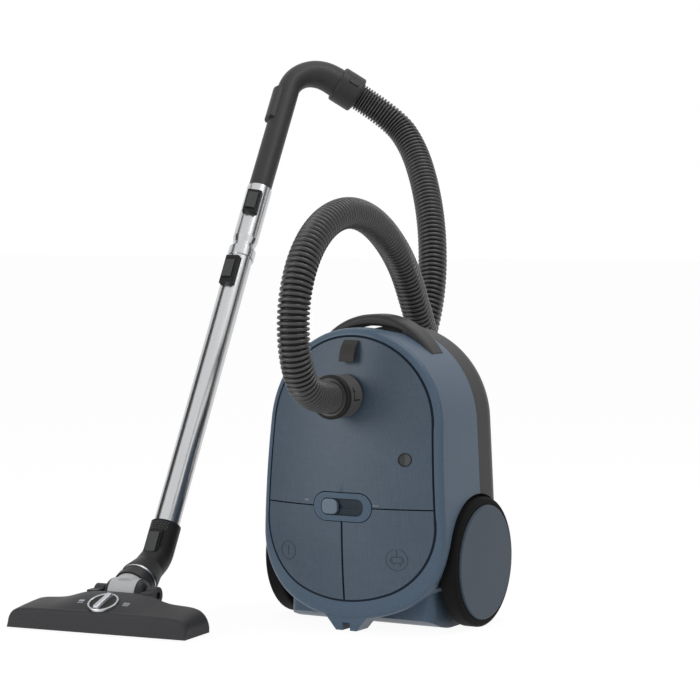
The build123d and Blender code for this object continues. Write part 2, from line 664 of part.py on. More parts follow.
# Wheels and axles
with BuildPart() as wheel_axles:
    for side in (1, -1):
        with Locations(Location((side * (wheel_in - 14), 0, wheel_z), (0, side * 90, 0))):
            Cylinder(axle_r, 33, align=(Align.CENTER, Align.CENTER, Align.MIN))
        with Locations(Location((side * (wheel_in - well_in - wall), 0, wheel_z), (0, side * 90, 0))):
            Cylinder(axle_r + 6, wall + 1, align=(Align.CENTER, Align.CENTER, Align.MIN))
wheel_axles.part.label = "wheel_axles"
export_step(wheel_axles.part, "parts/wheel_axles.step")

tyre_in_r = 66.0
with BuildPart() as right_tyre:
    with Locations(Location((wheel_in, 0, wheel_z), (0, 90, 0))):
        Cylinder(wheel_r, wheel_out - wheel_in, align=(Align.CENTER, Align.CENTER, Align.MIN))
    fillet(right_tyre.edges(), 5)
    with Locations(Location((wheel_in, 0, wheel_z), (0, 90, 0))):
        Cylinder(tyre_in_r, 80, mode=Mode.SUBTRACT)
right_tyre.part.label = "right_tyre"
export_step(right_tyre.part, "parts/right_tyre.step")

with BuildPart() as right_hub:
    with Locations(Location((wheel_in, 0, wheel_z), (0, 90, 0))):
        Cylinder(tyre_in_r, wheel_out - wheel_in, align=(Align.CENTER, Align.CENTER, Align.MIN))
        Cylinder(tyre_in_r - 4, 18, align=(Align.CENTER, Align.CENTER, Align.MIN),
                 mode=Mode.SUBTRACT)
        Cylinder(axle_r + 7, 20, align=(Align.CENTER, Align.CENTER, Align.MIN))
        Cylinder(axle_r + run, 19.5, align=(Align.CENTER, Align.CENTER, Align.MIN),
                 mode=Mode.SUBTRACT)
    with Locations(Location((wheel_out, 0, wheel_z), (0, 90, 0))):
        Cylinder(hub_r, cap_out - wheel_out, align=(Align.CENTER, Align.CENTER, Align.MIN))
    fillet(right_hub.faces().sort_by(Axis.X)[-1].edges(), 1.8)
right_hub.part.label = "right_hub"
export_step(right_hub.part, "parts/right_hub.step")

with BuildPart() as left_tyre:
    add(mirror(right_tyre.part, about=Plane.YZ, mode=Mode.PRIVATE))
left_tyre.part.label = "left_tyre"
export_step(left_tyre.part, "parts/left_tyre.step")

with BuildPart() as left_hub:
    add(mirror(right_hub.part, about=Plane.YZ, mode=Mode.PRIVATE))
left_hub.part.label = "left_hub"
export_step(left_hub.part, "parts/left_hub.step")

# Caster on the underside, hanging in the parked pose
trail, caster_r, caster_w = 9.0, 12.5, 14.0
caster_y = wheel_r - caster_r
stem_r = 5.0
with BuildPart() as caster_fork:
    with Locations(Location((0, caster_floor + 1, caster_z), (-90, 0, 0))):
        Cylinder(15, 2, align=(Align.CENTER, Align.CENTER, Align.MIN))
    with Locations(Location((0, caster_floor - wall - 4, caster_z), (-90, 0, 0))):
        Cylinder(stem_r - run, 10, align=(Align.CENTER, Align.CENTER, Align.MIN))
    with Locations(Location((0, caster_floor - wall - gap, caster_z), (90, 0, 0))):
        Cylinder(stem_r + 3, 3.5, align=(Align.CENTER, Align.CENTER, Align.MIN))
    for side in (1, -1):
        with Locations((side * (caster_w / 2 + 2.0), caster_floor + 2, caster_z - trail)):
            Box(3, caster_y - caster_floor + 2, 11, align=(Align.CENTER, Align.MIN, Align.CENTER))
    with Locations(Location((0, caster_y, caster_z - trail), (0, 90, 0))):
        Cylinder(2.5, caster_w + 5)
caster_fork.part.label = "caster_fork"
export_step(caster_fork.part, "parts/caster_fork.step")

with BuildPart() as caster_wheel:
    with Locations(Location((0, caster_y, caster_z - trail), (0, 90, 0))):
        Cylinder(caster_r, caster_w)
    fillet(caster_wheel.edges(), 2)
    with Locations(Location((0, caster_y, caster_z - trail), (0, 90, 0))):
        Cylinder(2.5 + run, caster_w + 2, mode=Mode.SUBTRACT)
caster_wheel.part.label = "caster_wheel"
export_step(caster_wheel.part, "parts/caster_wheel.step")

# Parking bracket and rest foot under the body
slot_w, slot_h = 11.0, 10.0
brace_y0, brace_y1 = -114.0, -84.0
with BuildPart() as parking_bracket:
    with BuildSketch(Plane.XZ.offset(-brace_y1)):
        with BuildLine():
            Polyline((-15, 0), (15, 0), (31, 19), (31, 26), (-31, 26), (-31, 19), close=True)
        make_face()
    extrude(amount=brace_y1 - brace_y0)
    add(body_outer.part, mode=Mode.SUBTRACT)
    with Locations((0, brace_y1, 0)):
        Box(slot_w, 100, slot_h, align=(Align.CENTER, Align.CENTER, Align.MIN), mode=Mode.SUBTRACT)
parking_bracket.part.label = "parking_bracket"
export_step(parking_bracket.part, "parts/parking_bracket.step")

foot_y0, foot_y1, foot_gap = -24.0, 62.0, 11.0
foot_w = 2 * (wheel_in - foot_gap)
belly_y, belly_z = -78.0, 14.0


def belly(inset=0.0):
    """Side profile of the belly, open upwards where it is inset."""
    y0, y1, low = belly_y + inset, foot_y1 - inset, inset
    with BuildSketch(Plane.YZ.offset(inset - foot_w / 2)) as side:
        with BuildLine():
            Line((foot_y0, low), (y1, low))
            Polyline((y1, low), (y1, 60 + inset), (y0, 60 + inset), (y0, belly_z + low))
            ThreePointArc((y0, belly_z + low), ((y0 + foot_y0) / 2 - 4, belly_z / 2 - 2.4 + low),
                          (foot_y0, low))
        make_face()
    return side.sketch


with BuildPart() as belly_core:
    extrude(belly(wall), amount=foot_w - 2 * wall, dir=(1, 0, 0))
    fillet(belly_core.edges().filter_by(Axis.Z), 14 - wall)

with BuildPart() as rest_foot:
    extrude(belly(), amount=foot_w, dir=(1, 0, 0))
    fillet(rest_foot.edges().filter_by(Axis.Z), 14)
    add(belly_core.part, mode=Mode.SUBTRACT)
    add(body_outer.part, mode=Mode.SUBTRACT)
rest_foot.part.label = "rest_foot"
export_step(rest_foot.part, "parts/rest_foot.step")

# Hose cuff in the lid inlet
with BuildPart() as hose_cuff:
    with Locations(Location((0, swell_front - gap, inlet_z), (90, 0, 0))):
        Cylinder(cuff_r, swell_front - gap - cuff_end, align=(Align.CENTER, Align.CENTER, Align.MIN))
    fillet(hose_cuff.edges().sort_by(Axis.Y)[0], 4.5)
    with Locations(Location((0, inlet_end + 1, inlet_z), (90, 0, 0))):
        Cylinder(plug_r - 0.2, 40, align=(Align.CENTER, Align.CENTER, Align.MIN))
        Cylinder(hose_r - hose_wall, 80, align=(Align.CENTER, Align.CENTER, Align.MIN),
                 mode=Mode.SUBTRACT)
    with Locations(Location((0, cuff_end + 12, inlet_z), (90, 0, 0))):
        Cylinder(hose_r + gap, 40, align=(Align.CENTER, Align.CENTER, Align.MIN), mode=Mode.SUBTRACT)
hose_cuff.part.label = "hose_cuff"
export_step(hose_cuff.part, "parts/hose_cuff.step")

# Hand grip: bent pipe in a plane turned about the tube axis
swing, grip_drop, spigot_len = 52.0, 51.0, 46.0
grip_t = tube_top + grip_drop
level = Vector(cos(radians(swing)), sin(radians(swing)), 0)
bend_dir = (level - lean_dir * level.dot(lean_dir)).normalized()
grip = Plane(origin=wand.origin + lean_dir * grip_t, x_dir=bend_dir, z_dir=bend_dir.cross(lean_dir))
grip_foot, bend_top, hose_end = (0.0, -grip_drop), (2.0, 182.0), (105.0, 160.0)
bend_r = 50.0
grip_swell = 5.6
end_dir = (Vector(*hose_end) - Vector(*bend_top)).normalized()
cuff_len, pipe_in = 36.0, 6.0
pipe_end = Vector(*hose_end) - end_dir * (cuff_len - pipe_in)
swivel_r = 27.0


def grip_point(b, w):
    return grip.from_local_coords(Vector(b, w, 0))


swivel_dir = grip_point(end_dir.X, end_dir.Y) - grip_point(0, 0)
swivel = Plane(origin=grip_point(*hose_end), x_dir=grip.z_dir, z_dir=swivel_dir)
socket_bore = 16.2

with BuildPart() as hand_grip:
    with BuildLine(grip) as way:
        FilletPolyline(grip_foot, bend_top, (pipe_end.X, pipe_end.Y), radius=bend_r)
    stem, bow, tip = way.wires()[0].edges()
    with BuildSketch(Plane(origin=stem @ 0, x_dir=grip.z_dir, z_dir=stem % 0)):
        Circle(grip_r)
    extrude(amount=stem.length)
    for edge, share, more in ((bow, 0, 0), (bow, 0.2, 0.5), (bow, 0.4, 1.6), (bow, 0.6, 3.0),
                              (bow, 0.8, 4.4), (bow, 1, 5.3), (tip, 1, grip_swell)):
        with BuildSketch(Plane(origin=edge @ share, x_dir=grip.z_dir, z_dir=edge % share)):
            Circle(grip_r + more)
    loft()
    with Locations(wand.offset(tube_top - spigot_len).location):
        Cylinder(socket_bore - 0.1, spigot_len + 1, align=(Align.CENTER, Align.CENTER, Align.MIN))
    with BuildLine(grip) as bore_way:
        FilletPolyline((0.0, -grip_drop - spigot_len), bend_top, (pipe_end.X, pipe_end.Y), radius=bend_r)
    with BuildSketch(Plane(origin=grip_point(0.0, -grip_drop - spigot_len), z_dir=lean_dir)):
        Circle(grip_r - 3.0)
    sweep(path=bore_way.wires()[0], mode=Mode.SUBTRACT)
    with Locations(grip.location):
        with Locations((-grip_r, 95, 0)):
            Box(8, 10, 7, mode=Mode.SUBTRACT)
hand_grip.part.label = "hand_grip"
export_step(hand_grip.part, "parts/hand_grip.step")

# Air slider saddled on the grip's outer side
slider_len, slider_low, slider_travel = 52.0, 66.0, 12.0
stem_dir = (grip_point(*bend_top) - grip_point(*grip_foot)).normalized()
slider_seat = grip_point(*grip_foot) + stem_dir * (slider_low - grip_foot[1])
with BuildPart() as grip_slider:
    with BuildSketch(Plane(origin=slider_seat, x_dir=bend_dir, z_dir=stem_dir)):
        Circle(grip_r + 5.0)
        Circle(grip_r + run, mode=Mode.SUBTRACT)
        with Locations((-11.0, 0)):
            Rectangle(20, 26, align=(Align.MAX, Align.CENTER), mode=Mode.INTERSECT)
    extrude(amount=slider_len)
grip_slider.part.label = "grip_slider"
export_step(grip_slider.part, "parts/grip_slider.step")

# Swivel cuff at the hose end of the grip
with BuildPart() as end_cuff:
    with Locations(swivel.offset(-cuff_len).location):
        Cylinder(swivel_r, cuff_len, align=(Align.CENTER, Align.CENTER, Align.MIN))
    fillet(end_cuff.edges(), 3.6)
    with Locations(swivel.offset(-cuff_len).location):
        Cylinder(grip_r + grip_swell + gap, pipe_in + gap, align=(Align.CENTER, Align.CENTER, Align.MIN),
                 mode=Mode.SUBTRACT)
        Cylinder(grip_r - 3, 80, align=(Align.CENTER, Align.CENTER, Align.MIN), mode=Mode.SUBTRACT)
    with Locations(swivel.offset(-14).location):
        Cylinder(hose_r + run, 40, align=(Align.CENTER, Align.CENTER, Align.MIN), mode=Mode.SUBTRACT)
    with Locations(swivel.offset(-16).location):
        with Locations((swivel_r - 2.4, 0, 0)):
            Box(10, 9, 16, align=(Align.MIN, Align.CENTER, Align.CENTER), mode=Mode.SUBTRACT)
end_cuff.part.label = "end_cuff"
export_step(end_cuff.part, "parts/end_cuff.step")

with BuildPart() as release_button:
    with Locations(swivel.offset(-16).location):
        with Locations((swivel_r - 0.6, 0, 0)):
            Box(2.0, 9 - 2 * gap, 16 - 2 * gap, align=(Align.MIN, Align.CENTER, Align.CENTER))
release_button.part.label = "release_button"
export_step(release_button.part, "parts/release_button.step")

# Telescopic tubes
inner_r = tube_r - tube_wall - run
inner_foot = 60.0
swage_gap, swage_len, inner_wall = 8.0, 10.0, 1.3
swage = tube_rim + swage_gap
socket_out = socket_bore + 1.8
with BuildPart() as inner_tube:
    with Locations(wand.offset(inner_foot).location):
        Cylinder(inner_r, swage + 2 - inner_foot,
                 align=(Align.CENTER, Align.CENTER, Align.MIN))
    with Locations(wand.offset(swage).location):
        Cone(inner_r, socket_out, swage_len, align=(Align.CENTER, Align.CENTER, Align.MIN))
    with Locations(wand.offset(swage + swage_len).location):
        Cylinder(socket_out, tube_top - swage - swage_len,
                 align=(Align.CENTER, Align.CENTER, Align.MIN))
    with Locations(wand.offset(inner_foot).location):
        Cylinder(inner_r - inner_wall, tube_top, align=(Align.CENTER, Align.CENTER, Align.MIN),
                 mode=Mode.SUBTRACT)
    with Locations(wand.offset(tube_top - spigot_len - 1).location):
        Cylinder(socket_bore, 80, align=(Align.CENTER, Align.CENTER, Align.MIN), mode=Mode.SUBTRACT)
inner_tube.part.label = "inner_tube"
export_step(inner_tube.part, "parts/inner_tube.step")

tube_foot = -22.0
with BuildPart() as outer_tube:
    with Locations(wand.offset(tube_foot).location):
        Cylinder(tube_r, tube_rim - tube_foot, align=(Align.CENTER, Align.CENTER, Align.MIN))
    with Locations(wand.offset(tube_rim - 14).location):
        Cylinder(tube_r + 1.8, 14, align=(Align.CENTER, Align.CENTER, Align.MIN))
    with Locations(wand.offset(tube_foot).location):
        Cylinder(tube_r - tube_wall, tube_top, align=(Align.CENTER, Align.CENTER, Align.MIN),
                 mode=Mode.SUBTRACT)
outer_tube.part.label = "outer_tube"
export_step(outer_tube.part, "parts/outer_tube.step")

# Button housings on the tubes: the front of the tube is the frame's -y side
house_w, house_h = 21.0, 9.0
tele_drop, tele_len = 66.0, 44.0
tele_t0 = tube_rim - tele_drop
button_w, button_drop, press = 15.0, 4.4, 2.0
with BuildPart() as tele_housing:
    with Locations(wand.offset(tele_t0).location):
        with Locations((0, -tube_r - house_h + 2, 0)):
            Box(house_w, 18, tele_len, align=(Align.CENTER, Align.MIN, Align.MIN))
    fillet(tele_housing.edges().filter_by(Axis((0, 0, 0), lean_dir)), 3.0)
    with Locations(wand.offset(tele_t0 - 10).location):
        Cylinder(tube_r, 80, align=(Align.CENTER, Align.CENTER, Align.MIN), mode=Mode.SUBTRACT)
    with Locations(wand.offset(tele_t0 + 8).location):
        with Locations((0, -tube_r - house_h + 2 + button_drop, 0)):
            Box(button_w, 20, tele_len - 16, align=(Align.CENTER, Align.MAX, Align.MIN),
                mode=Mode.SUBTRACT)
tele_housing.part.label = "tele_housing"
export_step(tele_housing.part, "parts/tele_housing.step")

with BuildPart() as tele_button:
    with Locations(wand.offset(tele_t0 + 8 + gap).location):
        with Locations((0, -tube_r - house_h + 2 + button_drop - press - gap, 0)):
            Box(button_w - 2 * gap, 4.2, tele_len - 16 - 2 * gap,
                align=(Align.CENTER, Align.MAX, Align.MIN))
tele_button.part.label = "tele_button"
export_step(tele_button.part, "parts/tele_button.step")

lock_drop, lock_len, lock_turn = 51.0, 36.0, 15.0
lock_t0 = tube_top - lock_drop
lock_r = socket_out
lock_side = across.rotate(Axis((0, 0, 0), lean_dir), lock_turn)
lock = Plane(origin=wand.origin, x_dir=lock_side, z_dir=lean_dir)
with BuildPart() as lock_housing:
    with Locations(lock.offset(lock_t0).location):
        with Locations((0, -lock_r - house_h + 2, 0)):
            Box(house_w, 18, lock_len, align=(Align.CENTER, Align.MIN, Align.MIN))
    fillet(lock_housing.edges().filter_by(Axis((0, 0, 0), lean_dir)), 3.0)
    with Locations(wand.offset(lock_t0 - 10).location):
        Cylinder(lock_r, 80, align=(Align.CENTER, Align.CENTER, Align.MIN), mode=Mode.SUBTRACT)
    with Locations(lock.offset(lock_t0 + 5).location):
        with Locations((0, -lock_r - house_h + 2 + button_drop, 0)):
            Box(button_w, 20, lock_len - 10, align=(Align.CENTER, Align.MAX, Align.MIN),
                mode=Mode.SUBTRACT)
lock_housing.part.label = "lock_housing"
export_step(lock_housing.part, "parts/lock_housing.step")

with BuildPart() as lock_button:
    with Locations(lock.offset(lock_t0 + 5 + gap).location):
        with Locations((0, -lock_r - house_h + 2 + button_drop - press - gap, 0)):
            Box(button_w - 2 * gap, 4.2, lock_len - 10 - 2 * gap,
                align=(Align.CENTER, Align.MAX, Align.MIN))
lock_button.part.label = "lock_button"
export_step(lock_button.part, "parts/lock_button.step")

# Nozzle neck: elbow between tube socket and tilting drum
pivot_y, pivot_z, rise = 88.0, 40.0, 25.0
neck_dir = spot(0, cos(radians(rise)), sin(radians(rise))) - spot(0, 0, 0)
neck = Plane(origin=spot(0, pivot_y, pivot_z), x_dir=across, z_dir=neck_dir)
side_view = Plane(origin=spot(0, 0, 0), x_dir=spot(0, 1, 0) - spot(0, 0, 0), z_dir=across)
elbow_s = 88.1
elbow = (pivot_y + elbow_s * cos(radians(rise)), pivot_z + elbow_s * sin(radians(rise)))
neck_s = 34.0
neck_low = (pivot_y + neck_s * cos(radians(rise)), pivot_z + neck_s * sin(radians(rise)))
neck_top = (188.0 + 10 * sin(radians(lean)), 109.0 + 10 * cos(radians(lean)))
spigot_r = 16.0
key_t = -40.0
with BuildPart() as nozzle_neck:
    with BuildLine(side_view) as way:
        FilletPolyline(neck_low, elbow, neck_top, radius=34)
    with BuildSketch(neck.offset(neck_s)):
        Circle(socket_r)
    sweep(path=way.wires()[0])
    with Locations(neck.offset(neck_s).location):
        Cone(26, socket_r, 26, align=(Align.CENTER, Align.CENTER, Align.MIN))
    with Locations(wand.offset(key_t - 3).location):
        with Locations((0, -socket_r - 2.5, 0)):
            Box(20, 16, 36, align=(Align.CENTER, Align.MIN, Align.MIN))
    with BuildSketch(neck.offset(neck_s)):
        Circle(spigot_r - 1.5)
    sweep(path=way.wires()[0], mode=Mode.SUBTRACT)
    with Locations(neck.offset(neck_s).location):
        Cylinder(spigot_r, 16, align=(Align.CENTER, Align.CENTER, Align.MIN), mode=Mode.SUBTRACT)
    with Locations(wand.offset(tube_foot).location):
        Cylinder(tube_r, 60, align=(Align.CENTER, Align.CENTER, Align.MIN), mode=Mode.SUBTRACT)
    with Locations(wand.offset(key_t).location):
        with Locations((0, -socket_r + 1.4, 0)):
            Box(16, 20, 29, align=(Align.CENTER, Align.MAX, Align.MIN), mode=Mode.SUBTRACT)
nozzle_neck.part.label = "nozzle_neck"
export_step(nozzle_neck.part, "parts/nozzle_neck.step")

with BuildPart() as neck_button:
    with Locations(wand.offset(key_t + gap).location):
        with Locations((0, -socket_r + 1.4 - 1.6 - gap, 0)):
            Box(16 - 2 * gap, 4.4, 29 - 2 * gap, align=(Align.CENTER, Align.MAX, Align.MIN))
neck_button.part.label = "neck_button"
export_step(neck_button.part, "parts/neck_button.step")

with BuildPart() as swivel_ring:
    with Locations(neck.offset(neck_s - 4).location):
        Cylinder(25, 4, align=(Align.CENTER, Align.CENTER, Align.MIN))
        Cylinder(spigot_r, 4, align=(Align.CENTER, Align.CENTER, Align.MIN), mode=Mode.SUBTRACT)
swivel_ring.part.label = "swivel_ring"
export_step(swivel_ring.part, "parts/swivel_ring.step")

drum_r, drum_half, pin_r, collar_r = 21.0, 29.0, 5.0, 26.5
drum_axis = Plane(origin=spot(0, pivot_y, pivot_z), x_dir=neck_dir, z_dir=across)
with BuildPart() as tilt_drum:
    with Locations(drum_axis.offset(-drum_half).location):
        Cylinder(drum_r, 2 * drum_half, align=(Align.CENTER, Align.CENTER, Align.MIN))
    fillet(tilt_drum.edges().filter_by(GeomType.CIRCLE), 13)
    with Locations(drum_axis.offset(-drum_half - 9).location):
        Cylinder(pin_r, 2 * drum_half + 18, align=(Align.CENTER, Align.CENTER, Align.MIN))
    with Locations(neck.location):
        Cylinder(24, neck_s - 4 - gap, align=(Align.CENTER, Align.CENTER, Align.MIN))
        Cylinder(spigot_r - run, neck_s + 11, align=(Align.CENTER, Align.CENTER, Align.MIN))
    with Locations(neck.offset(12).location):
        Cylinder(collar_r, 8, align=(Align.CENTER, Align.CENTER, Align.MIN))
    with Locations(neck.offset(-6).location):
        Cylinder(spigot_r - 2, 90, align=(Align.CENTER, Align.CENTER, Align.MIN), mode=Mode.SUBTRACT)
tilt_drum.part.label = "tilt_drum"
export_step(tilt_drum.part, "parts/tilt_drum.step")

# Floor nozzle
nozzle_w, nozzle_d, nozzle_t = 259.0, 67.0, 2.5
end_view = Plane(origin=spot(-nozzle_w / 2, 0, 0), x_dir=side_view.x_dir, z_dir=across)
cheek_in, cheek_out, lug_r = 31.0, 45.0, 11.5
dial_tilt, dial_r = 23.0, 20.5
dial_plane = Plane(origin=spot(0, 24, 36), x_dir=across,
                   z_dir=spot(0, -sin(radians(dial_tilt)), cos(radians(dial_tilt))) - spot(0, 0, 0))


def rib(x, front_z, back_z, crown, inset=0.0):
    """Side profile of the cover at one station across, as a face to loft."""
    low = 0.5 if inset else 1.5
    f, r = inset, nozzle_d - inset
    fz, bz = front_z - inset, back_z - inset
    mid = fz + 2 + (bz - fz - 2) * 0.44 + crown
    with BuildSketch(Plane(origin=spot(x, 0, 0), x_dir=side_view.x_dir, z_dir=across)) as section:
        with BuildLine():
            Line((f, low), (f + 3.2, fz - 4))
            ThreePointArc((f + 3.2, fz - 4), (f + 5.0, fz), (f + 9, fz + 2))
            ThreePointArc((f + 9, fz + 2), (30, mid), (58, bz))
            ThreePointArc((58, bz), (r - 2.2, bz - 2.4), (r, bz - 7))
            Polyline((r, bz - 7), (r, low), (f, low))
        make_face()
    return section.sketch


def cover_form(inset=0.0):
    """Sections from end to end: low rounded ends, a shoulder, and the raised middle."""
    half = nozzle_w / 2
    left = ((half, 11, 14.5, 0.5), (half - 3, 18.6, 23, 0.5), (half - 9, 22.6, 29, 0.5),
            (half - 18, 24.6, 32.4, 0.6), (half - 34, 25.6, 34.2, 0.8), (half - 56, 26.2, 36.4, 1.2),
            (46, 26.8, 43.8, 2.4), (20, 27, 46.2, 3.0))
    inner = (half - inset) / half
    near = [rib(-x * inner, front_z, back_z, crown, inset) for x, front_z, back_z, crown in left]
    far = [rib(x * inner, front_z, back_z, crown, inset) for x, front_z, back_z, crown in reversed(left)]
    return near + far


with BuildPart() as nozzle_cover:
    loft(cover_form())
    for side in (1, -1):
        with Locations(base_plane.location):
            with Locations((side * (cheek_in + cheek_out) / 2, 60, pivot_z - lug_r)):
                Box(cheek_out - cheek_in, pivot_y - 60, 2 * lug_r - 5, align=(Align.CENTER, Align.MIN, Align.MIN))
        with Locations(drum_axis.offset(side * (cheek_in + cheek_out) / 2).location):
            Cylinder(lug_r, cheek_out - cheek_in)
    loft(cover_form(nozzle_t), mode=Mode.SUBTRACT)
    with Locations(drum_axis.offset(-cheek_in + gap).location):
        Cylinder(drum_r + 3.6, 2 * cheek_in - 2 * gap, align=(Align.CENTER, Align.CENTER, Align.MIN),
                 mode=Mode.SUBTRACT)
    with Locations(drum_axis.offset(-60).location):
        Cylinder(pin_r + run, 120, align=(Align.CENTER, Align.CENTER, Align.MIN), mode=Mode.SUBTRACT)
    with Locations(dial_plane.location):
        Cylinder(dial_r + gap, 40, align=(Align.CENTER, Align.CENTER, Align.MIN), mode=Mode.SUBTRACT)
        Cylinder(4 + run, 30, mode=Mode.SUBTRACT)
nozzle_cover.part.label = "nozzle_cover"
export_step(nozzle_cover.part, "parts/nozzle_cover.step")

# Sole with suction slot, brush slit and roller bays
mouth_w, mouth_y0, mouth_y1 = 200.0, 24.0, 36.0
slit_w, slit_y0, slit_y1 = 222.0, 8.4, 13.6
roller_x, roller_y, roller_r, roller_w = 78.0, 51.0, 7.5, 10.0
sole_low, sole_t = 1.0, 3.0
with BuildPart() as nozzle_sole:
    with Locations(base_plane.location):
        with Locations((0, nozzle_t + 1.0, sole_low)):
            Box(nozzle_w - 2 * nozzle_t - 2 * gap, 60.0, sole_t, align=(Align.CENTER, Align.MIN, Align.MIN))
        with Locations((0, (mouth_y0 + mouth_y1) / 2, 0)):
            Box(mouth_w, mouth_y1 - mouth_y0, 20, mode=Mode.SUBTRACT)
        with Locations((0, (slit_y0 + slit_y1) / 2, 0)):
            Box(slit_w, slit_y1 - slit_y0, 20, mode=Mode.SUBTRACT)
        with Locations((roller_x, roller_y, 0), (-roller_x, roller_y, 0)):
            Box(roller_w + 2, 2 * roller_r + 2, 20, mode=Mode.SUBTRACT)
        for side in (1, -1):
            for edge in (-roller_w / 2 - 3, roller_w / 2 + 3):
                with Locations((side * roller_x + edge, roller_y, sole_low)):
                    Box(4, 8, 11, align=(Align.CENTER, Align.CENTER, Align.MIN))
        with Locations((60, 17, 0), (-60, 17, 0)):
            Box(5, 6, sole_low + 1, align=(Align.CENTER, Align.CENTER, Align.MIN))
    with Locations(Plane(origin=spot(-100, roller_y, roller_r), z_dir=across).location):
        Cylinder(2 + run, 200, align=(Align.CENTER, Align.CENTER, Align.MIN), mode=Mode.SUBTRACT)
nozzle_sole.part.label = "nozzle_sole"
export_step(nozzle_sole.part, "parts/nozzle_sole.step")

with BuildPart() as nozzle_rollers:
    for side in (1, -1):
        with Locations(Plane(origin=spot(side * roller_x, roller_y, roller_r), z_dir=across).location):
            Cylinder(roller_r, roller_w)
            Cylinder(2, roller_w + 9)
nozzle_rollers.part.label = "nozzle_rollers"
export_step(nozzle_rollers.part, "parts/nozzle_rollers.step")

with BuildPart() as brush_strip:
    with Locations(base_plane.location):
        with Locations((0, (slit_y0 + slit_y1) / 2, 0.3)):
            Box(slit_w - 2, slit_y1 - slit_y0 - 1, 12, align=(Align.CENTER, Align.CENTER, Align.MIN))
brush_strip.part.label = "brush_strip"
export_step(brush_strip.part, "parts/brush_strip.step")

with BuildPart() as nozzle_dial:
    with Locations(dial_plane.offset(gap).location):
        Cylinder(dial_r, 3, align=(Align.CENTER, Align.CENTER, Align.MIN))
        Box(7, 2 * dial_r - 3, 7, align=(Align.CENTER, Align.CENTER, Align.MIN))
    with Locations(dial_plane.offset(-8).location):
        Cylinder(4, 9, align=(Align.CENTER, Align.CENTER, Align.MIN))
nozzle_dial.part.label = "nozzle_dial"
export_step(nozzle_dial.part, "parts/nozzle_dial.step")

# Hose: straight runs and tangent arcs from the inlet over the canister, round a floor loop, to the grip
out = swivel_dir
lead = swivel.origin + out * 62
tail = swivel.origin - out * 13
route = [
    (0, cuff_end + 11, inlet_z),
    (0, -208, inlet_z),
    (0, -243, 352),
    (0, -247, 418),
    (0, -224, 476),
    (-3, -175, 517),
    (-7, -110, 536),
    (-11, -45, 531),
    (-16, 18, 507),
    (-19, 74, 466),
    (-21, 112, 412),
    (-24, 152, 352),
    (-30, 200, 290),
    (-40, 245, 215),
    (-48, 262, 130),
    (-50, 242, 60),
    (-54, 204, 28),
    (-60, 163, 33),
    (-68, 139, 82),
    (-76, 142, 150),
    (-84, 164, 232),
    (-80, 202, 306),
    (-70, 234, 370),
    (-72, 262, 436),
    (-90, 296, 508),
    (-124, 340, 574),
    (-166, 380, 634),
    (lead.X, lead.Y, lead.Z),
    (tail.X, tail.Y, tail.Z),
]
points = [Vector(*p) for p in route]
radii = []
for a, b, c in zip(points, points[1:], points[2:]):
    turn = (b - a).get_angle(c - b)
    shorter = min((b - a).length, (c - b).length)
    radii.append(0.45 * shorter / tan(radians(turn) / 2))
print("hose bend radii", [round(r) for r in radii])
with BuildPart() as hose:
    with BuildLine() as way:
        FilletPolyline(*points, radius=radii)
    hose_path = way.wires()[0]
    with BuildSketch(Plane(origin=points[0], z_dir=points[1] - points[0])):
        Circle(hose_r)
        Circle(hose_r - hose_wall, mode=Mode.SUBTRACT)
    sweep(path=hose_path)
hose.part.label = "hose"
export_step(hose.part, "parts/hose.step")
section = pi * (hose_r**2 - (hose_r - hose_wall) ** 2)
print("hose length", round(hose_path.length), "volume share", round(hose.part.volume / (section * hose_path.length), 4))
print("hose low", hose.part.bounding_box().min.Z)

# Joint positions for the record, in metres
print("swivel", swivel.origin, swivel_dir)
print("lean", lean_dir, "across", across, "neck", neck_dir)
print("pivot", spot(0, pivot_y, pivot_z), "roller", spot(0, roller_y, roller_r))
print("dial", dial_plane.origin, dial_plane.z_dir)
print("release", swivel.x_dir, "lock side", lock.y_dir, "tube side", wand.y_dir)
print("mouth", spot(0, (mouth_y0 + mouth_y1) / 2, sole_low + sole_t / 2))
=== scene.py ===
# %% [markdown]
# # A canister vacuum cleaner, parked on its end
# A bagged canister cleaner stands on its rear end with hose, grip, tube and
# floor nozzle attached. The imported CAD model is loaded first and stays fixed.
# Its forms could be modelled again here, but then they would no longer fit the
# joints, so only finishes and fine pieces are added, in the same frame and in
# metres.

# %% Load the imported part
import math

import bpy
from mathutils import Matrix, Vector


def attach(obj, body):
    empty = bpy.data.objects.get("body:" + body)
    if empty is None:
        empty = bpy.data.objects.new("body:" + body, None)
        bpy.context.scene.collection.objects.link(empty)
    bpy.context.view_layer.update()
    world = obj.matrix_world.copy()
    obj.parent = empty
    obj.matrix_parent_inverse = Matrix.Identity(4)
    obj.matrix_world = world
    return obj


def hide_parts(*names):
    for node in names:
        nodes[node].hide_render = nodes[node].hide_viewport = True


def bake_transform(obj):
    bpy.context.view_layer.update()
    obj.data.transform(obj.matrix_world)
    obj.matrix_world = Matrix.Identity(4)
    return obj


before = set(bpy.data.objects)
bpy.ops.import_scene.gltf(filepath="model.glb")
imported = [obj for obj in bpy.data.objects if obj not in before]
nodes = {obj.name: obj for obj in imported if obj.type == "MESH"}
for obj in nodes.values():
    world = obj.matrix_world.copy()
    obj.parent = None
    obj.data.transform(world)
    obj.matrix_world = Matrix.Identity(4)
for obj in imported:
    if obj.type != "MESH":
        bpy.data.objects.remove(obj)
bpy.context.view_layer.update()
scene = bpy.context.scene
scene.view_settings.view_transform = "Standard"
print("loaded", len(nodes), "CAD nodes")

# %% [markdown]
# ## Camera
# A product photograph is usually taken from well back with a long lens, so
# verticals stay almost parallel. A camera could be aimed by eye. Here the eye
# point and the view direction were fitted to the wheels, the tube and the
# nozzle, which is closer and can be repeated.

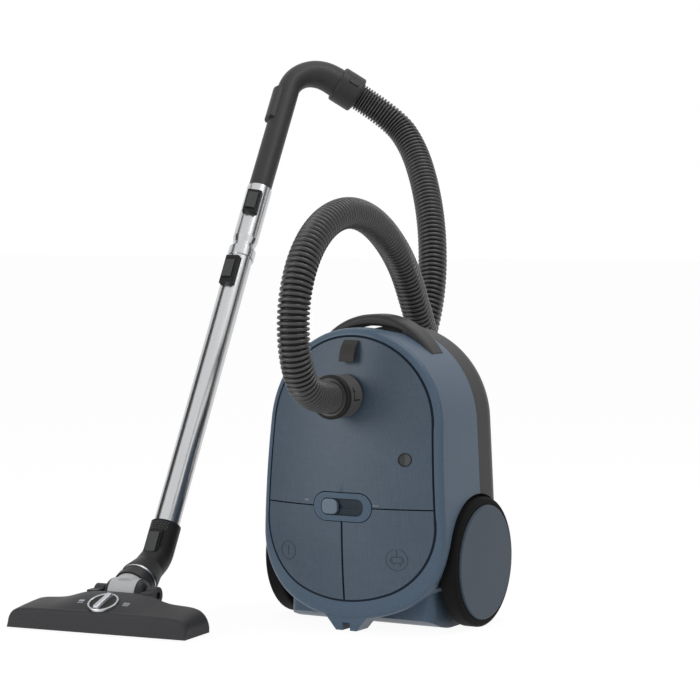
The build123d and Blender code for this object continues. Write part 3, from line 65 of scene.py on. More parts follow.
# %% Camera at the photograph's angle
focal_px, frame_px, sensor_mm = 2400.0, 700.0, 36.0
eye = Vector((1.50655, -2.76685, 0.5196))
right = Vector((0.87036, 0.49242, 0.0))
forward = Vector((-0.49175, 0.86916, -0.05234))


def axes_at(x_axis, y_axis, z_axis, place):
    """A matrix with three axes for its columns, moved to a place."""
    return Matrix((
        (x_axis.x, y_axis.x, z_axis.x, place.x),
        (x_axis.y, y_axis.y, z_axis.y, place.y),
        (x_axis.z, y_axis.z, z_axis.z, place.z),
        (0, 0, 0, 1),
    ))


camera_data = bpy.data.cameras.new("studio_camera")
camera_data.lens = sensor_mm * focal_px / frame_px
camera_data.sensor_width = sensor_mm
camera_data.clip_end = 60.0
camera = bpy.data.objects.new("studio_camera", camera_data)
camera.matrix_world = axes_at(right, right.cross(forward), -forward, eye)
scene.collection.objects.link(camera)
scene.camera = camera
print("lens", round(camera_data.lens, 2), "mm")

# %% [markdown]
# ## Finishes
# Each finish starts from what the real surface is. One function turns a hex
# colour into linear light, and one small function adds a node with its
# settings and links. Pictures could be wrapped round the pieces instead, but
# patterns on Object coordinates need no unwrapping and have a true size: the
# coordinates are the part's own frame, so one over a size is a texture scale.

# %% Colour and node helpers
def linear(hex_colour):
    values = [int(hex_colour[i:i + 2], 16) / 255 for i in (1, 3, 5)]
    return [v / 12.92 if v <= 0.04045 else ((v + 0.055) / 1.055) ** 2.4 for v in values] + [1.0]


def add_node(tree, kind, settings=None, links=None):
    """A node with settings (attributes or input values) and links (input: socket)."""
    made = tree.nodes.new(kind)
    for key, value in (settings or {}).items():
        if isinstance(key, str) and hasattr(made, key):
            setattr(made, key, value)
        else:
            made.inputs[key].default_value = value
    for key, socket in (links or {}).items():
        tree.links.new(socket, made.inputs[key])
    return made


def per_mm(size):
    """Texture scale for a feature of this many millimetres."""
    return 1000.0 / size


finishes = {}
print("red at half of full strength is", round(linear("#800000")[0], 3), "in linear light")

# %% [markdown]
# Nearly everything on the cleaner is moulded plastic. A single flat colour
# would look like a toy, so the base colour drifts to a second shade, and the
# grain of the mould's surface gives a fine relief and an uneven gloss. A woven
# surface gets a second grain that runs across the first.

# %% A moulded plastic
cloud_mm = 90.0


def moulded(name, colour, shade, roughness, grain_mm, depth_mm,
            stretch=(1, 1, 1), cross=None, specular=0.5):
    """Moulded plastic: a colour that drifts to a shade, with a grain or a weave in its surface."""
    made = bpy.data.materials.new(name)
    made.use_nodes = True
    tree = made.node_tree
    shader = tree.nodes["Principled BSDF"]
    place = add_node(tree, "ShaderNodeTexCoord")
    turned = add_node(tree, "ShaderNodeMapping", {"Scale": stretch},
                      {"Vector": place.outputs["Object"]})
    grain = add_node(tree, "ShaderNodeTexNoise",
                     {"Scale": per_mm(grain_mm), "Detail": 3.0, "Roughness": 0.6},
                     {"Vector": turned.outputs["Vector"]})
    height = grain.outputs["Fac"]
    if cross:
        across = add_node(tree, "ShaderNodeMapping", {"Scale": cross},
                          {"Vector": place.outputs["Object"]})
        weft = add_node(tree, "ShaderNodeTexNoise",
                        {"Scale": per_mm(grain_mm * 1.2), "Detail": 2.0},
                        {"Vector": across.outputs["Vector"]})
        height = add_node(tree, "ShaderNodeMath", {"operation": "MULTIPLY_ADD", 1: 0.4},
                          {0: weft.outputs["Fac"], 2: height}).outputs["Value"]
    cloud = add_node(tree, "ShaderNodeTexNoise", {"Scale": per_mm(cloud_mm), "Detail": 2.0},
                     {"Vector": place.outputs["Object"]})
    mixed = add_node(tree, "ShaderNodeMath", {"operation": "MULTIPLY_ADD", 1: 0.35},
                     {0: cloud.outputs["Fac"], 2: height})
    low, high = (0.7, 1.15) if cross else (0.45, 0.9)
    tone = add_node(tree, "ShaderNodeMapRange", {"From Min": low, "From Max": high},
                    {"Value": mixed.outputs["Value"]})
    paint = add_node(tree, "ShaderNodeMix",
                     {"data_type": "RGBA", 6: linear(colour), 7: linear(shade)},
                     {0: tone.outputs["Result"]})
    gloss = add_node(tree, "ShaderNodeMapRange",
                     {"To Min": roughness - 0.05, "To Max": roughness + 0.07},
                     {"Value": grain.outputs["Fac"]})
    bump = add_node(tree, "ShaderNodeBump", {"Strength": 0.6, "Distance": depth_mm / 1000},
                    {"Height": height})
    tree.links.new(paint.outputs[2], shader.inputs["Base Color"])
    tree.links.new(gloss.outputs["Result"], shader.inputs["Roughness"])
    tree.links.new(bump.outputs["Normal"], shader.inputs["Normal"])
    shader.inputs["IOR"].default_value = 1.5
    shader.inputs["Specular IOR Level"].default_value = specular
    finishes[name] = made
    return made


print("clouds of", cloud_mm, "mm")

# %% [markdown]
# The front panel is ABS with a linen-like emboss of fine threads. The real
# thread is under half a millimetre, too fine to show, so it is drawn about one
# millimetre wide, stretched along Z and, more faintly, across. The surround is
# the same pigment in a smooth satin metallic paint. All could share one blue,
# but on the real cleaner the panel is duller and darker than the surround, so
# each has its own.

# %% Plastics of the canister
# Embossed ABS: the threads scatter the light, so the blue looks dull and soft
moulded("linen_embossed_abs", "#465767", "#536475", 0.46, 1.1, 0.16,
        (1, 1, 0.05), (0.05, 0.05, 1))
# Lacquered ABS: smooth, so the same blue looks paler where the shell bends
moulded("satin_blue_abs", "#566A7E", "#5F7387", 0.38, 2.4, 0.04, specular=0.3)
# Plain ABS of the hub caps: a flat and even grey-blue
moulded("hub_cap_abs", "#495663", "#525F6C", 0.42, 2.4, 0.06, specular=0.2)
# ABS from a spark-eroded mould: a fine grain that keeps dark grey from shining
moulded("charcoal_abs", "#333334", "#3B3B3C", 0.44, 1.6, 0.08, specular=0.28)
# ABS with a brownish pigment: warmer than its neighbours, with a soft shine
moulded("warm_grey_abs", "#5C5A57", "#65625F", 0.42, 2.0, 0.06, specular=0.45)
# The same pigment, darker, from a duller mould
moulded("latch_abs", "#383634", "#3F3D3B", 0.5, 2.0, 0.06, specular=0.22)
# Black ABS from a matt mould: takes in the light and hides its edges
moulded("black_abs", "#1C1C1D", "#242425", 0.46, 2.0, 0.08, specular=0.2)
# Extruded rubber: no shine, so a seam stays a dark line
moulded("navy_seal_rubber", "#0B1723", "#101F2E", 0.7, 1.5, 0.1, specular=0.2)
# Vulcanised rubber: the darkest and dullest surface
moulded("tyre_rubber", "#131313", "#191919", 0.68, 1.6, 0.15, specular=0.1)
# Polished ABS of the slider: the brightest blue on the panel
moulded("slider_abs", "#6A7A8B", "#748495", 0.36, 2.4, 0.03)
print(len(finishes), "plastics so far")

# %% [markdown]
# The nozzle, the buttons and the pieces inside have finishes of their own.
# Inside pieces could stay grey, but they show when the lid or the grille is
# open. Fleece, laminate and bristles are made by the same function, with a
# coarser relief or with a grain that is drawn out.

# %% Other plastics, print and fleece
# ABS of the nozzle: matt and a little cooler than the grip
moulded("nozzle_abs", "#424244", "#4A4A4C", 0.5, 1.6, 0.06, specular=0.14)
# The neck, darker than the nozzle
moulded("neck_abs", "#252526", "#2D2D2E", 0.45, 1.8, 0.08, specular=0.16)
# Buttons, smoother and lighter than what they sit in
moulded("dark_button_abs", "#3C3D3E", "#454647", 0.44, 1.8, 0.06, specular=0.4)
# Lines pressed into the pedals: in shade, so darker than the panel
moulded("debossed_line", "#2E3A46", "#35424E", 0.6, 1.5, 0.04)
# Pad-printed ink: pale and flat
moulded("pale_print", "#B4BCC4", "#C0C7CE", 0.5, 1.5, 0.02)
# Polypropylene of the bag flag: a plain signal red
moulded("red_flag_plastic", "#A8281F", "#B8332A", 0.5, 2.0, 0.05)
# Melt-blown fleece of the bag: off-white, soft and without shine
moulded("bag_fleece", "#D8D3C4", "#E4DFD2", 0.9, 2.2, 0.4)
# Needled fleece of the filters: cooler and coarser
moulded("filter_fleece", "#B9BDBF", "#C9CCCE", 0.95, 1.6, 0.5)
# Glass-fibre laminate under green lacquer
moulded("circuit_board_laminate", "#1E5A34", "#256640", 0.5, 3.0, 0.05)
# Nylon bristles: upright streaks
moulded("bristle_nylon", "#2E2C2A", "#3A3835", 0.7, 0.9, 0.5, (1, 1, 0.1))
print(len(finishes), "plastics")

# %% [markdown]
# The tubes are chromed steel. Chrome keeps almost all of the light, so what
# makes it read as metal is the dark and bright bands that it mirrors; faint
# draw marks run along the tube. An anisotropic shader could draw them too, but
# a noise stretched along the tube's lean keeps its look in the export. Turned
# and pressed steel inside is duller.

# %% Metals
def metal(name, colour, roughness, mark_mm, lengths=(1, 1, 1), turn=(0, 0, 0), drift=0.3):
    """Bare metal with fine marks, drawn out along the axes of a turned frame."""
    made = bpy.data.materials.new(name)
    made.use_nodes = True
    tree = made.node_tree
    shader = tree.nodes["Principled BSDF"]
    place = add_node(tree, "ShaderNodeTexCoord")
    turned = add_node(tree, "ShaderNodeMapping",
                      {"vector_type": "TEXTURE", "Rotation": turn, "Scale": lengths},
                      {"Vector": place.outputs["Object"]})
    marks = add_node(tree, "ShaderNodeTexNoise", {"Scale": per_mm(mark_mm), "Detail": 4.0},
                     {"Vector": turned.outputs["Vector"]})
    gloss = add_node(tree, "ShaderNodeMapRange",
                     {"To Min": roughness * (1 - drift), "To Max": roughness * (1 + drift)},
                     {"Value": marks.outputs["Fac"]})
    bright = linear(colour)
    dimmer = [v * 0.9 for v in bright[:3]] + [1.0]
    tone = add_node(tree, "ShaderNodeMix", {"data_type": "RGBA", 6: bright, 7: dimmer},
                    {0: marks.outputs["Fac"]})
    tree.links.new(gloss.outputs["Result"], shader.inputs["Roughness"])
    tree.links.new(tone.outputs[2], shader.inputs["Base Color"])
    shader.inputs["Metallic"].default_value = 1.0
    finishes[name] = made
    return made


lean_dir = Vector((-0.05266, 0.533233, 0.844328))
tube_lean = lean_dir.to_track_quat("Z", "Y").to_euler()
# Chromed steel: drawn and plated, so bright bands run along it
metal("chromed_tube", "#C9CACC", 0.22, 1.6, (1, 1, 40), tube_lean, drift=0.12)
# Satin-plated trim: the same light, spread wider
metal("satin_silver", "#BFC1C4", 0.32, 1.5)
# Turned steel: rings from the lathe
metal("turned_steel", "#8C8E91", 0.35, 1.2, (10, 1, 1))
# Stacked sheets of the motor: thin dark layers
metal("lamination_steel", "#4A4B4E", 0.5, 1.0, (1, 1, 0.125))
print("tube leans", round(math.degrees(lean_dir.angle(Vector((0, 0, 1)))), 1), "degrees")

# %% [markdown]
# The hose is blow-moulded polypropylene. Shade makes the valleys between its
# ribs nearly black. That shade could be left to the light alone, but soft light
# fills the valleys; so the shade is painted: each point of the hose carries its
# height above the valley as an attribute, and the painted shade follows it.

# %% Hose plastic, with shade painted into its valleys
def tint_where(made, mask, colour):
    """Give a finish a second colour where the mask is one."""
    tree = made.node_tree
    shader = tree.nodes["Principled BSDF"]
    first = shader.inputs["Base Color"].links[0].from_socket
    mixed = add_node(tree, "ShaderNodeMix", {"data_type": "RGBA", 7: linear(colour)},
                     {0: mask, 6: first})
    tree.links.new(mixed.outputs[2], shader.inputs["Base Color"])


hose_paint = moulded("ribbed_hose_plastic", "#404041", "#4A4A4B", 0.32, 2.5, 0.03)
tree = hose_paint.node_tree
crest_height = add_node(tree, "ShaderNodeAttribute", {"attribute_name": "crest"})
valley_shade_mask = add_node(tree, "ShaderNodeMapRange",
                  {"From Min": 0.25, "From Max": 0.95, "To Min": 1.0, "To Max": 0.0},
                  {"Value": crest_height.outputs["Fac"]})
# Painted shade: near black down in the valleys between the ribs
tint_where(hose_paint, valley_shade_mask.outputs["Result"], "#0B0B0C")
print("hose plastic has", len(tree.nodes), "nodes")

# %% [markdown]
# The tilting drum is one moulding with two finishes: its round middle, in front
# of the collar, is painted silver, and the collar and both ends stay charcoal.
# Its mesh could be split in two, but a mask is simpler: the distances along
# the neck and across it decide which finish shows.

# %% Two-tone drum
pivot = Vector((-0.270648, -0.211926, 0.040))
neck_axis = Vector((-0.08907, 0.90192, 0.422618))
hinge_axis = Vector((0.995159, 0.098278, 0.0))
collar_start, silver_half = 0.0115, 0.0195
drum_paint = moulded("two_tone_drum", "#282829", "#303031", 0.42, 1.8, 0.08, specular=0.3)
tree = drum_paint.node_tree
place = add_node(tree, "ShaderNodeTexCoord")
along = add_node(tree, "ShaderNodeVectorMath", {"operation": "DOT_PRODUCT", 1: neck_axis},
                 {0: place.outputs["Object"]})
front = add_node(tree, "ShaderNodeMath",
                 {"operation": "LESS_THAN", 1: pivot.dot(neck_axis) + collar_start},
                 {0: along.outputs["Value"]})
sideways = add_node(tree, "ShaderNodeVectorMath", {"operation": "DOT_PRODUCT", 1: hinge_axis},
                    {0: place.outputs["Object"]})
middle = add_node(tree, "ShaderNodeMath",
                  {"operation": "COMPARE", 1: pivot.dot(hinge_axis), 2: silver_half},
                  {0: sideways.outputs["Value"]})
silvered = add_node(tree, "ShaderNodeMath", {"operation": "MULTIPLY"},
                    {0: front.outputs["Value"], 1: middle.outputs["Value"]})
tint_where(drum_paint, silvered.outputs["Value"], "#D0D2D4")
print("silver is", 2 * silver_half, "m wide")

# %% [markdown]
# The oval island is blue on its rim, and the track that the slider runs in is
# sunk, with navy painted into it as shade. Again one mask tells the two apart:
# the depth behind the panel's skin, which bends back from the middle of the
# front.

# %% Island with painted shade in its track
panel_bend, track_y = 1.515, -0.1246
island = moulded("island_abs", "#52667A", "#5B6F83", 0.38, 2.4, 0.04, specular=0.25)
tree = island.node_tree
place = add_node(tree, "ShaderNodeTexCoord")
axes = add_node(tree, "ShaderNodeSeparateXYZ", None, {0: place.outputs["Object"]})
square = add_node(tree, "ShaderNodeMath", {"operation": "MULTIPLY"},
                  {0: axes.outputs["X"], 1: axes.outputs["X"]})
level = add_node(tree, "ShaderNodeMath", {"operation": "MULTIPLY_ADD", 1: -panel_bend},
                 {0: square.outputs["Value"], 2: axes.outputs["Y"]})
track_shade_mask = add_node(tree, "ShaderNodeMath", {"operation": "GREATER_THAN", 1: track_y},
                {0: level.outputs["Value"]})
# Painted shade: the sunk track is tinted navy
tint_where(island, track_shade_mask.outputs["Value"], "#22303C")
print("track lies behind y =", track_y)

# %% [markdown]
# The bag window is split: its left half shows the dark chamber, its right half
# the paler guide behind the pane. Clear glass would show the pieces inside,
# which are plainer than the real ones, so the pane is a glossy dark plastic
# with two tones.

# %% Split window
window_x = 0.0838
window = moulded("split_window", "#23272C", "#2A2E34", 0.12, 30.0, 0.02)
tree = window.node_tree
place = add_node(tree, "ShaderNodeTexCoord")
axes = add_node(tree, "ShaderNodeSeparateXYZ", None, {0: place.outputs["Object"]})
half = add_node(tree, "ShaderNodeMath", {"operation": "GREATER_THAN", 1: window_x},
                {0: axes.outputs["X"]})
tint_where(window, half.outputs["Value"], "#4B4E52")
print("finishes:", ", ".join(sorted(finishes)))

# %% [markdown]
# Each CAD node now gets its finish. The nodes could be coloured one at a time;
# a table of who wears what is shorter and shows at once if one was forgotten.

# %% Hand the finishes to the CAD nodes
worn_by = {
    "linen_embossed_abs": "lid power_pedal rewind_pedal",
    "satin_blue_abs": "upper_shell parking_bracket rest_foot",
    "island_abs": "control_bezel",
    "slider_abs": "power_slider",
    "hub_cap_abs": "right_hub left_hub",
    "charcoal_abs": "lower_shell carry_handle exhaust_grille caster_fork hand_grip end_cuff grip_slider"
                    " release_button",
    "warm_grey_abs": "hose_cuff",
    "latch_abs": "lid_latch",
    "black_abs": "control_deck bag_holder bulkhead motor_housing reel_frame reel_drum"
                 " reel_brake lock_housing tele_housing nozzle_rollers",
    "navy_seal_rubber": "lid_seal panel_frame cord_gland",
    "tyre_rubber": "right_tyre left_tyre caster_wheel cord_coil",
    "nozzle_abs": "nozzle_cover nozzle_sole",
    "neck_abs": "nozzle_neck",
    "two_tone_drum": "tilt_drum",
    "dark_button_abs": "lock_button tele_button neck_button",
    "red_flag_plastic": "bag_flag",
    "bag_fleece": "dust_bag",
    "filter_fleece": "motor_filter exhaust_filter",
    "circuit_board_laminate": "control_board",
    "bristle_nylon": "brush_strip",
    "chromed_tube": "inner_tube outer_tube",
    "satin_silver": "swivel_ring nozzle_dial",
    "turned_steel": "wheel_axles housing_screws",
    "lamination_steel": "motor_stator motor_rotor",
    "split_window": "bag_window",
    "ribbed_hose_plastic": "hose",
}


def wear(obj, finish):
    obj.data.materials.clear()
    obj.data.materials.append(finishes[finish])


for finish, names in worn_by.items():
    for name in names.split():
        wear(nodes[name], finish)
unworn = set(nodes) - set(" ".join(worn_by.values()).split())
print("nodes without a finish:", unworn or "none")

# %% [markdown]
# ## Hose
# The hose leaves the cuff, bows over the canister, loops behind it and rises
# to the grip. Its line could be a chain of arcs; a NURBS curve of low order
# through the same points as the CAD hose bends evenly and stays close to them.
# The curve is traced once, for its length.

# %% Hose line
hose_route = [
    (0, -0.146, 0.302), (0, -0.208, 0.302), (0, -0.243, 0.352), (0, -0.247, 0.418),
    (0, -0.224, 0.476), (-0.003, -0.175, 0.517), (-0.007, -0.110, 0.536), (-0.011, -0.045, 0.531),
    (-0.016, 0.018, 0.507), (-0.019, 0.074, 0.466), (-0.021, 0.112, 0.412), (-0.024, 0.152, 0.352),
    (-0.030, 0.200, 0.290), (-0.040, 0.245, 0.215), (-0.048, 0.262, 0.130), (-0.050, 0.242, 0.060),
    (-0.054, 0.204, 0.028), (-0.060, 0.163, 0.033), (-0.068, 0.139, 0.082), (-0.076, 0.142, 0.150),
    (-0.084, 0.164, 0.232), (-0.080, 0.202, 0.306), (-0.070, 0.234, 0.370), (-0.072, 0.262, 0.436),
    (-0.090, 0.296, 0.508), (-0.124, 0.340, 0.574), (-0.166, 0.380, 0.634),
    (-0.20531, 0.38825, 0.67755), (-0.25674, 0.35036, 0.71682),
]
line = bpy.data.curves.new("hose_line", "CURVE")
line.dimensions = "3D"
line.resolution_u = 24
strand = line.splines.new("NURBS")
strand.points.add(len(hose_route) - 1)
for point, place in zip(strand.points, hose_route):
    point.co = (*place, 1.0)
strand.order_u = 3
strand.use_endpoint_u = True
hose_line = bpy.data.objects.new("hose_line", line)
scene.collection.objects.link(hose_line)
bpy.context.view_layer.update()
traced = bpy.data.meshes.new_from_object(hose_line.evaluated_get(bpy.context.evaluated_depsgraph_get()))
hose_path = [v.co.copy() for v in traced.vertices]
hose_length = sum((b - a).length for a, b in zip(hose_path, hose_path[1:]))
print("hose line", round(hose_length, 3), "m in", len(hose_path), "points")

# %% [markdown]
# A vacuum hose is a thin corrugated tube. It could be one tube with a bump
# pattern, but then its outline would be smooth. So one ring of the corrugation
# is turned as on a lathe: a circle is extruded and scaled from step to step.

# %% One rib of the hose
def clear_selection():
    bpy.ops.object.select_all(action="DESELECT")


def turned_form(name, profile, sides, closed=False):
    """Lathe work about Z: a circle is extruded and scaled from one (radius, height) to the next."""
    clear_selection()
    radius, height = profile[0]
    bpy.ops.mesh.primitive_circle_add(vertices=sides, radius=radius, location=(0, 0, 0))
    made = bpy.context.object
    made.name = name
    bpy.ops.object.mode_set(mode="EDIT")
    bpy.ops.mesh.select_all(action="SELECT")
    bpy.ops.transform.translate(value=(0, 0, height))
    for next_radius, next_height in profile[1:]:
        bpy.ops.mesh.extrude_region_move(TRANSFORM_OT_translate={"value": (0, 0, next_height - height)})
        share = next_radius / radius
        bpy.ops.transform.resize(value=(share, share, 1), center_override=(0, 0, next_height))
        radius, height = next_radius, next_height
    if not closed:
        bpy.ops.mesh.edge_face_add()
    bpy.ops.mesh.select_all(action="SELECT")
    bpy.ops.mesh.remove_doubles(threshold=0.000002)
    bpy.ops.mesh.normals_make_consistent(inside=False)
    bpy.ops.object.mode_set(mode="OBJECT")
    return made


hose_r, valley_r, rib_pitch = 0.0205, 0.0166, 0.0068
crowding = 1.06  # extra ribs, for the ends where they stand closer
rib_count = int(hose_length / rib_pitch * crowding)
step = hose_length / rib_count
rib_profile = (
    (0.0, valley_r), (0.08, valley_r + 0.0002), (0.2, hose_r - 0.0012),
    (0.34, hose_r - 0.0002), (0.5, hose_r), (0.66, hose_r - 0.0002),
    (0.8, hose_r - 0.0012), (0.92, valley_r + 0.0002), (1.0, valley_r),
)
hose = turned_form("ribbed_hose", [(r, share * step) for share, r in rib_profile], 28, closed=True)
hose.data.transform(Matrix.Rotation(math.radians(90), 4, "Y"))
print("one rib:", len(hose.data.polygons), "faces")

# %% [markdown]
# An Array modifier repeats the ring over the hose's length. The ribs are pushed
# together at both cuffs, where the hose is stiffened, and stand wider apart
# between, so the row is spaced anew before a Curve modifier lays it on the
# line. Each point also keeps its height above the valley, for the painted shade.

# %% The row of ribs
rings = hose.modifiers.new("rings", "ARRAY")
rings.count = rib_count
rings.use_merge_vertices = True
rings.merge_threshold = 0.00005
bpy.context.view_layer.objects.active = hose
bpy.ops.object.modifier_apply(modifier="rings")
cuff_pitch, free_after = 0.56, 0.18
pitches = []
for k in range(rib_count):
    from_cuff = min(k, rib_count - k) * step
    pitches.append(cuff_pitch + (1 - cuff_pitch) * min(1.0, from_cuff / free_after))
scale = hose_length / sum(pitches)
starts = [0.0]
for pitch in pitches:
    starts.append(starts[-1] + pitch * scale)
for vertex in hose.data.vertices:
    k = min(int(vertex.co.x / step + 1e-6), rib_count - 1)
    vertex.co.x = starts[k] + (vertex.co.x / step - k) * pitches[k] * scale
crest = hose.data.attributes.new("crest", "FLOAT", "POINT")
for vertex, value in zip(hose.data.vertices, crest.data):
    out = math.hypot(vertex.co.y, vertex.co.z)
    value.value = max(0.0, (out - valley_r) / (hose_r - valley_r))
print("rib pitch", round(min(pitches) * scale, 4), "to", round(max(pitches) * scale, 4), "m")

# %% [markdown]
# When the lid opens, the cuff goes with it while the far end of the hose stays
# with the canister. The hose could follow one of them and tear off the other;
# here it follows neither: a Curve modifier lays the ribs along the line, and the
# CAD hose is hidden.

# %% The ribs laid along the line
laid = hose.modifiers.new("laid", "CURVE")
laid.object = hose_line
laid.deform_axis = "POS_X"
bpy.ops.object.modifier_apply(modifier="laid")
bpy.ops.object.shade_smooth()
wear(hose, "ribbed_hose_plastic")
bpy.data.objects.remove(hose_line)
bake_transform(hose)
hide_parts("hose")
print("hose ribs", rib_count, "faces", len(hose.data.polygons))

# %% [markdown]
# ## Signs on the front panel
# The pedals carry two moulded-in signs: a ring with a bar for the switch and a
# ring with a plug for the cord. They could be painted by a mask, but thin lines
# need real edges. So they are flat shapes first, drawn in the front view, and
# are then pressed onto the panel's barrel-shaped skin.

# %% Helpers for flat signs
nose_y, nose_z, side_r, plan_r = -0.126, 0.150, 0.900, 0.330


def skin_y(x, z):
    plan = plan_r - math.sqrt(plan_r ** 2 - x * x)
    return nose_y + side_r - math.sqrt((side_r - plan) ** 2 - (z - nose_z) ** 2)


def flat_ring(centre, radius, width, gap_deg=0.0):
    """A flat ring in the front view, open at the top if a gap is given."""
    clear_selection()
    bpy.ops.mesh.primitive_circle_add(vertices=72, radius=radius, rotation=(math.radians(90), 0, 0),
                                      location=(centre[0], 0, centre[1]))
    made = bpy.context.object
    bpy.ops.object.transform_apply(location=True, rotation=True, scale=True)
    bpy.ops.object.mode_set(mode="EDIT")
    bpy.ops.mesh.select_all(action="SELECT")
    bpy.ops.mesh.extrude_region_move(TRANSFORM_OT_translate={"value": (0, 0, 0)})
    share = (radius - width) / radius
    bpy.ops.transform.resize(value=(share, 1, share), center_override=(centre[0], 0, centre[1]))
    bpy.ops.mesh.select_all(action="DESELECT")
    bpy.ops.object.mode_set(mode="OBJECT")
    for face in made.data.polygons:
        off = face.center - Vector((centre[0], 0, centre[1]))
        face.select = abs(math.degrees(math.atan2(off.x, off.z))) < gap_deg
    bpy.ops.object.mode_set(mode="EDIT")
    bpy.ops.mesh.delete(type="FACE")
    bpy.ops.object.mode_set(mode="OBJECT")
    return made


def flat_bar(x0, z0, x1, z1):
    """A flat bar between two corners of the front view."""
    clear_selection()
    bpy.ops.mesh.primitive_plane_add(size=1.0, rotation=(math.radians(90), 0, 0),
                                     location=((x0 + x1) / 2, 0, (z0 + z1) / 2))
    made = bpy.context.object
    made.scale = (x1 - x0, z1 - z0, 1)
    bpy.ops.object.transform_apply(location=True, rotation=True, scale=True)
    bpy.ops.object.mode_set(mode="EDIT")
    bpy.ops.mesh.subdivide(number_cuts=4)
    bpy.ops.object.mode_set(mode="OBJECT")
    return made


def joined(parts, name):
    """Join parts into one piece, which stays selected and active."""
    clear_selection()
    for part in parts:
        part.select_set(True)
    bpy.context.view_layer.objects.active = parts[0]
    if len(parts) > 1:
        bpy.ops.object.join()
    made = bpy.context.object
    made.name = name
    return made


def thicken(made, thickness):
    """Give a flat piece a thickness, half to each side."""
    sheet = made.modifiers.new("sheet", "SOLIDIFY")
    sheet.thickness = thickness
    sheet.offset = 0.0
    bpy.ops.object.modifier_apply(modifier="sheet")


print("skin in the middle of the panel at y =", round(skin_y(0, nose_z), 3))

# %% [markdown]
# Joined, laid on the skin and given a thickness, a sign rides on the pedal or
# the lid that carries it. A Shrinkwrap modifier could lay it down as well; the
# skin is a known barrel shape, so its formula is exact.

# %% Switch and plug signs
def press_on(parts, name, finish, body, proud=0.00012):
    """Lay flat parts on the panel skin as one piece, with a body to ride on."""
    made = joined(parts, name)
    for vertex in made.data.vertices:
        vertex.co.y = skin_y(vertex.co.x, vertex.co.z) - proud
    bpy.ops.object.mode_set(mode="EDIT")
    bpy.ops.mesh.select_all(action="SELECT")
    bpy.ops.mesh.normals_make_consistent(inside=False)
    bpy.ops.object.mode_set(mode="OBJECT")
    thicken(made, 0.0004)
    wear(made, finish)
    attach(made, body)
    return made


power_x, power_z = -0.0863, 0.0978
power_parts = [
    flat_ring((power_x, power_z), 0.0125, 0.0008),
    flat_bar(power_x - 0.0005, power_z - 0.0062, power_x + 0.0005, power_z + 0.0062),
]
press_on(power_parts, "power_sign", "debossed_line", "power_key")
plug_x, plug_z = 0.0746, 0.0962
plug_bars = (
    (-0.0005, 0.0040, 0.0005, 0.0135),
    (-0.0070, 0.0031, 0.0070, 0.0040),
    (-0.0070, -0.0048, -0.0061, 0.0040),
    (0.0061, -0.0048, 0.0070, 0.0040),
    (-0.0070, -0.0048, 0.0070, -0.0039),
    (-0.0047, -0.0085, -0.0038, -0.0048),
    (0.0038, -0.0085, 0.0047, -0.0048),
    (-0.0090, -0.0030, -0.0081, 0.0012),
    (0.0081, -0.0030, 0.0090, 0.0012),
)
plug_parts = [flat_ring((plug_x, plug_z), 0.0142, 0.0008, gap_deg=13)]
for x0, z0, x1, z1 in plug_bars:
    plug_parts.append(flat_bar(plug_x + x0, plug_z + z0, plug_x + x1, plug_z + z1))
press_on(plug_parts, "rewind_sign", "debossed_line", "rewind_key")
press_on([flat_ring((0.084, 0.223), 0.0088, 0.0012)], "window_ring", "black_abs", "lid",
         proud=0.0003)
print("plug sign of", len(plug_bars), "bars")

# %% [markdown]
# The slider's ends are marked with small printed words for least and most
# power, the usual ones on such a control. Letters could be drawn with bars,
# but a text object has them ready; it becomes a mesh before it is laid on the
# skin.

# %% Slider words
def printed_word(word, x, z, cap_height):
    clear_selection()
    bpy.ops.object.text_add(location=(0, 0, 0))
    made = bpy.context.object
    made.data.body = word
    made.data.size = cap_height / 0.7
    made.data.align_x = "CENTER"
    made.data.align_y = "CENTER"
    made.data.space_character = 1.15
    bpy.ops.object.convert(target="MESH")
    made = bpy.context.object
    made.data.transform(Matrix.Translation((x, 0, z)) @ Matrix.Rotation(math.radians(90), 4, "X"))
    return made


for word, x, z in (("MIN", -0.0536, 0.1662), ("MAX", 0.0481, 0.1638)):
    made = press_on([printed_word(word, x, z, 0.0022)], "print_" + word.lower(), "pale_print",
                    "lid", proud=0.00025)
    print(made.name, "has", len(made.data.polygons), "faces")

# %% [markdown]
# ## Nozzle dial
# The dial is a silver ring around a dark dish with a raised silver pointer.
# The CAD dial is one plain solid, so three pieces take its place. Each could be
# built on the slope; it is easier to turn and cut them lying flat and then to
# carry them to their tilted seat on the cover.

# %% Dial of the nozzle
def settle(made, finish, body, smooth_deg=35):
    """Smooth a finished piece and give it a finish and a body."""
    clear_selection()
    made.select_set(True)
    bpy.context.view_layer.objects.active = made
    bpy.ops.object.shade_smooth_by_angle(angle=math.radians(smooth_deg))
    wear(made, finish)
    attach(made, body)


dial_up = Vector((0.0384, -0.38884, 0.920505))
dial_seat = axes_at(hinge_axis, dial_up.cross(hinge_axis), dial_up,
                    Vector((-0.264359, -0.275616, 0.036)))
dial_turn = Matrix.Rotation(math.radians(-8), 4, "Z")
ring_profile = ((0.0176, 0.0004), (0.0205, 0.0004), (0.0205, 0.0030), (0.0199, 0.0036),
                (0.0184, 0.0036), (0.0178, 0.0031), (0.0176, 0.0004))
dish_profile = ((0.0177, 0.0004), (0.0177, 0.0024), (0.0168, 0.0026), (0.0080, 0.0022),
                (0.0006, 0.0021))
dial_ring = turned_form("dial_ring", ring_profile, 72, closed=True)
dial_dish = turned_form("dial_dish", dish_profile, 72)
clear_selection()
bpy.ops.mesh.primitive_cube_add(size=1.0, location=(0, 0, 0.0045))
dial_pointer = bpy.context.object
dial_pointer.name = "dial_pointer"
dial_pointer.scale = (0.0096, 0.0352, 0.0052)
bpy.ops.object.transform_apply(location=True, rotation=True, scale=True)
for vertex in dial_pointer.data.vertices:
    if vertex.co.z > 0.005:
        vertex.co.x *= 0.72
        vertex.co.y *= 0.95
edges = dial_pointer.modifiers.new("edges", "BEVEL")
edges.width = 0.0011
edges.segments = 4
bpy.ops.object.modifier_apply(modifier="edges")
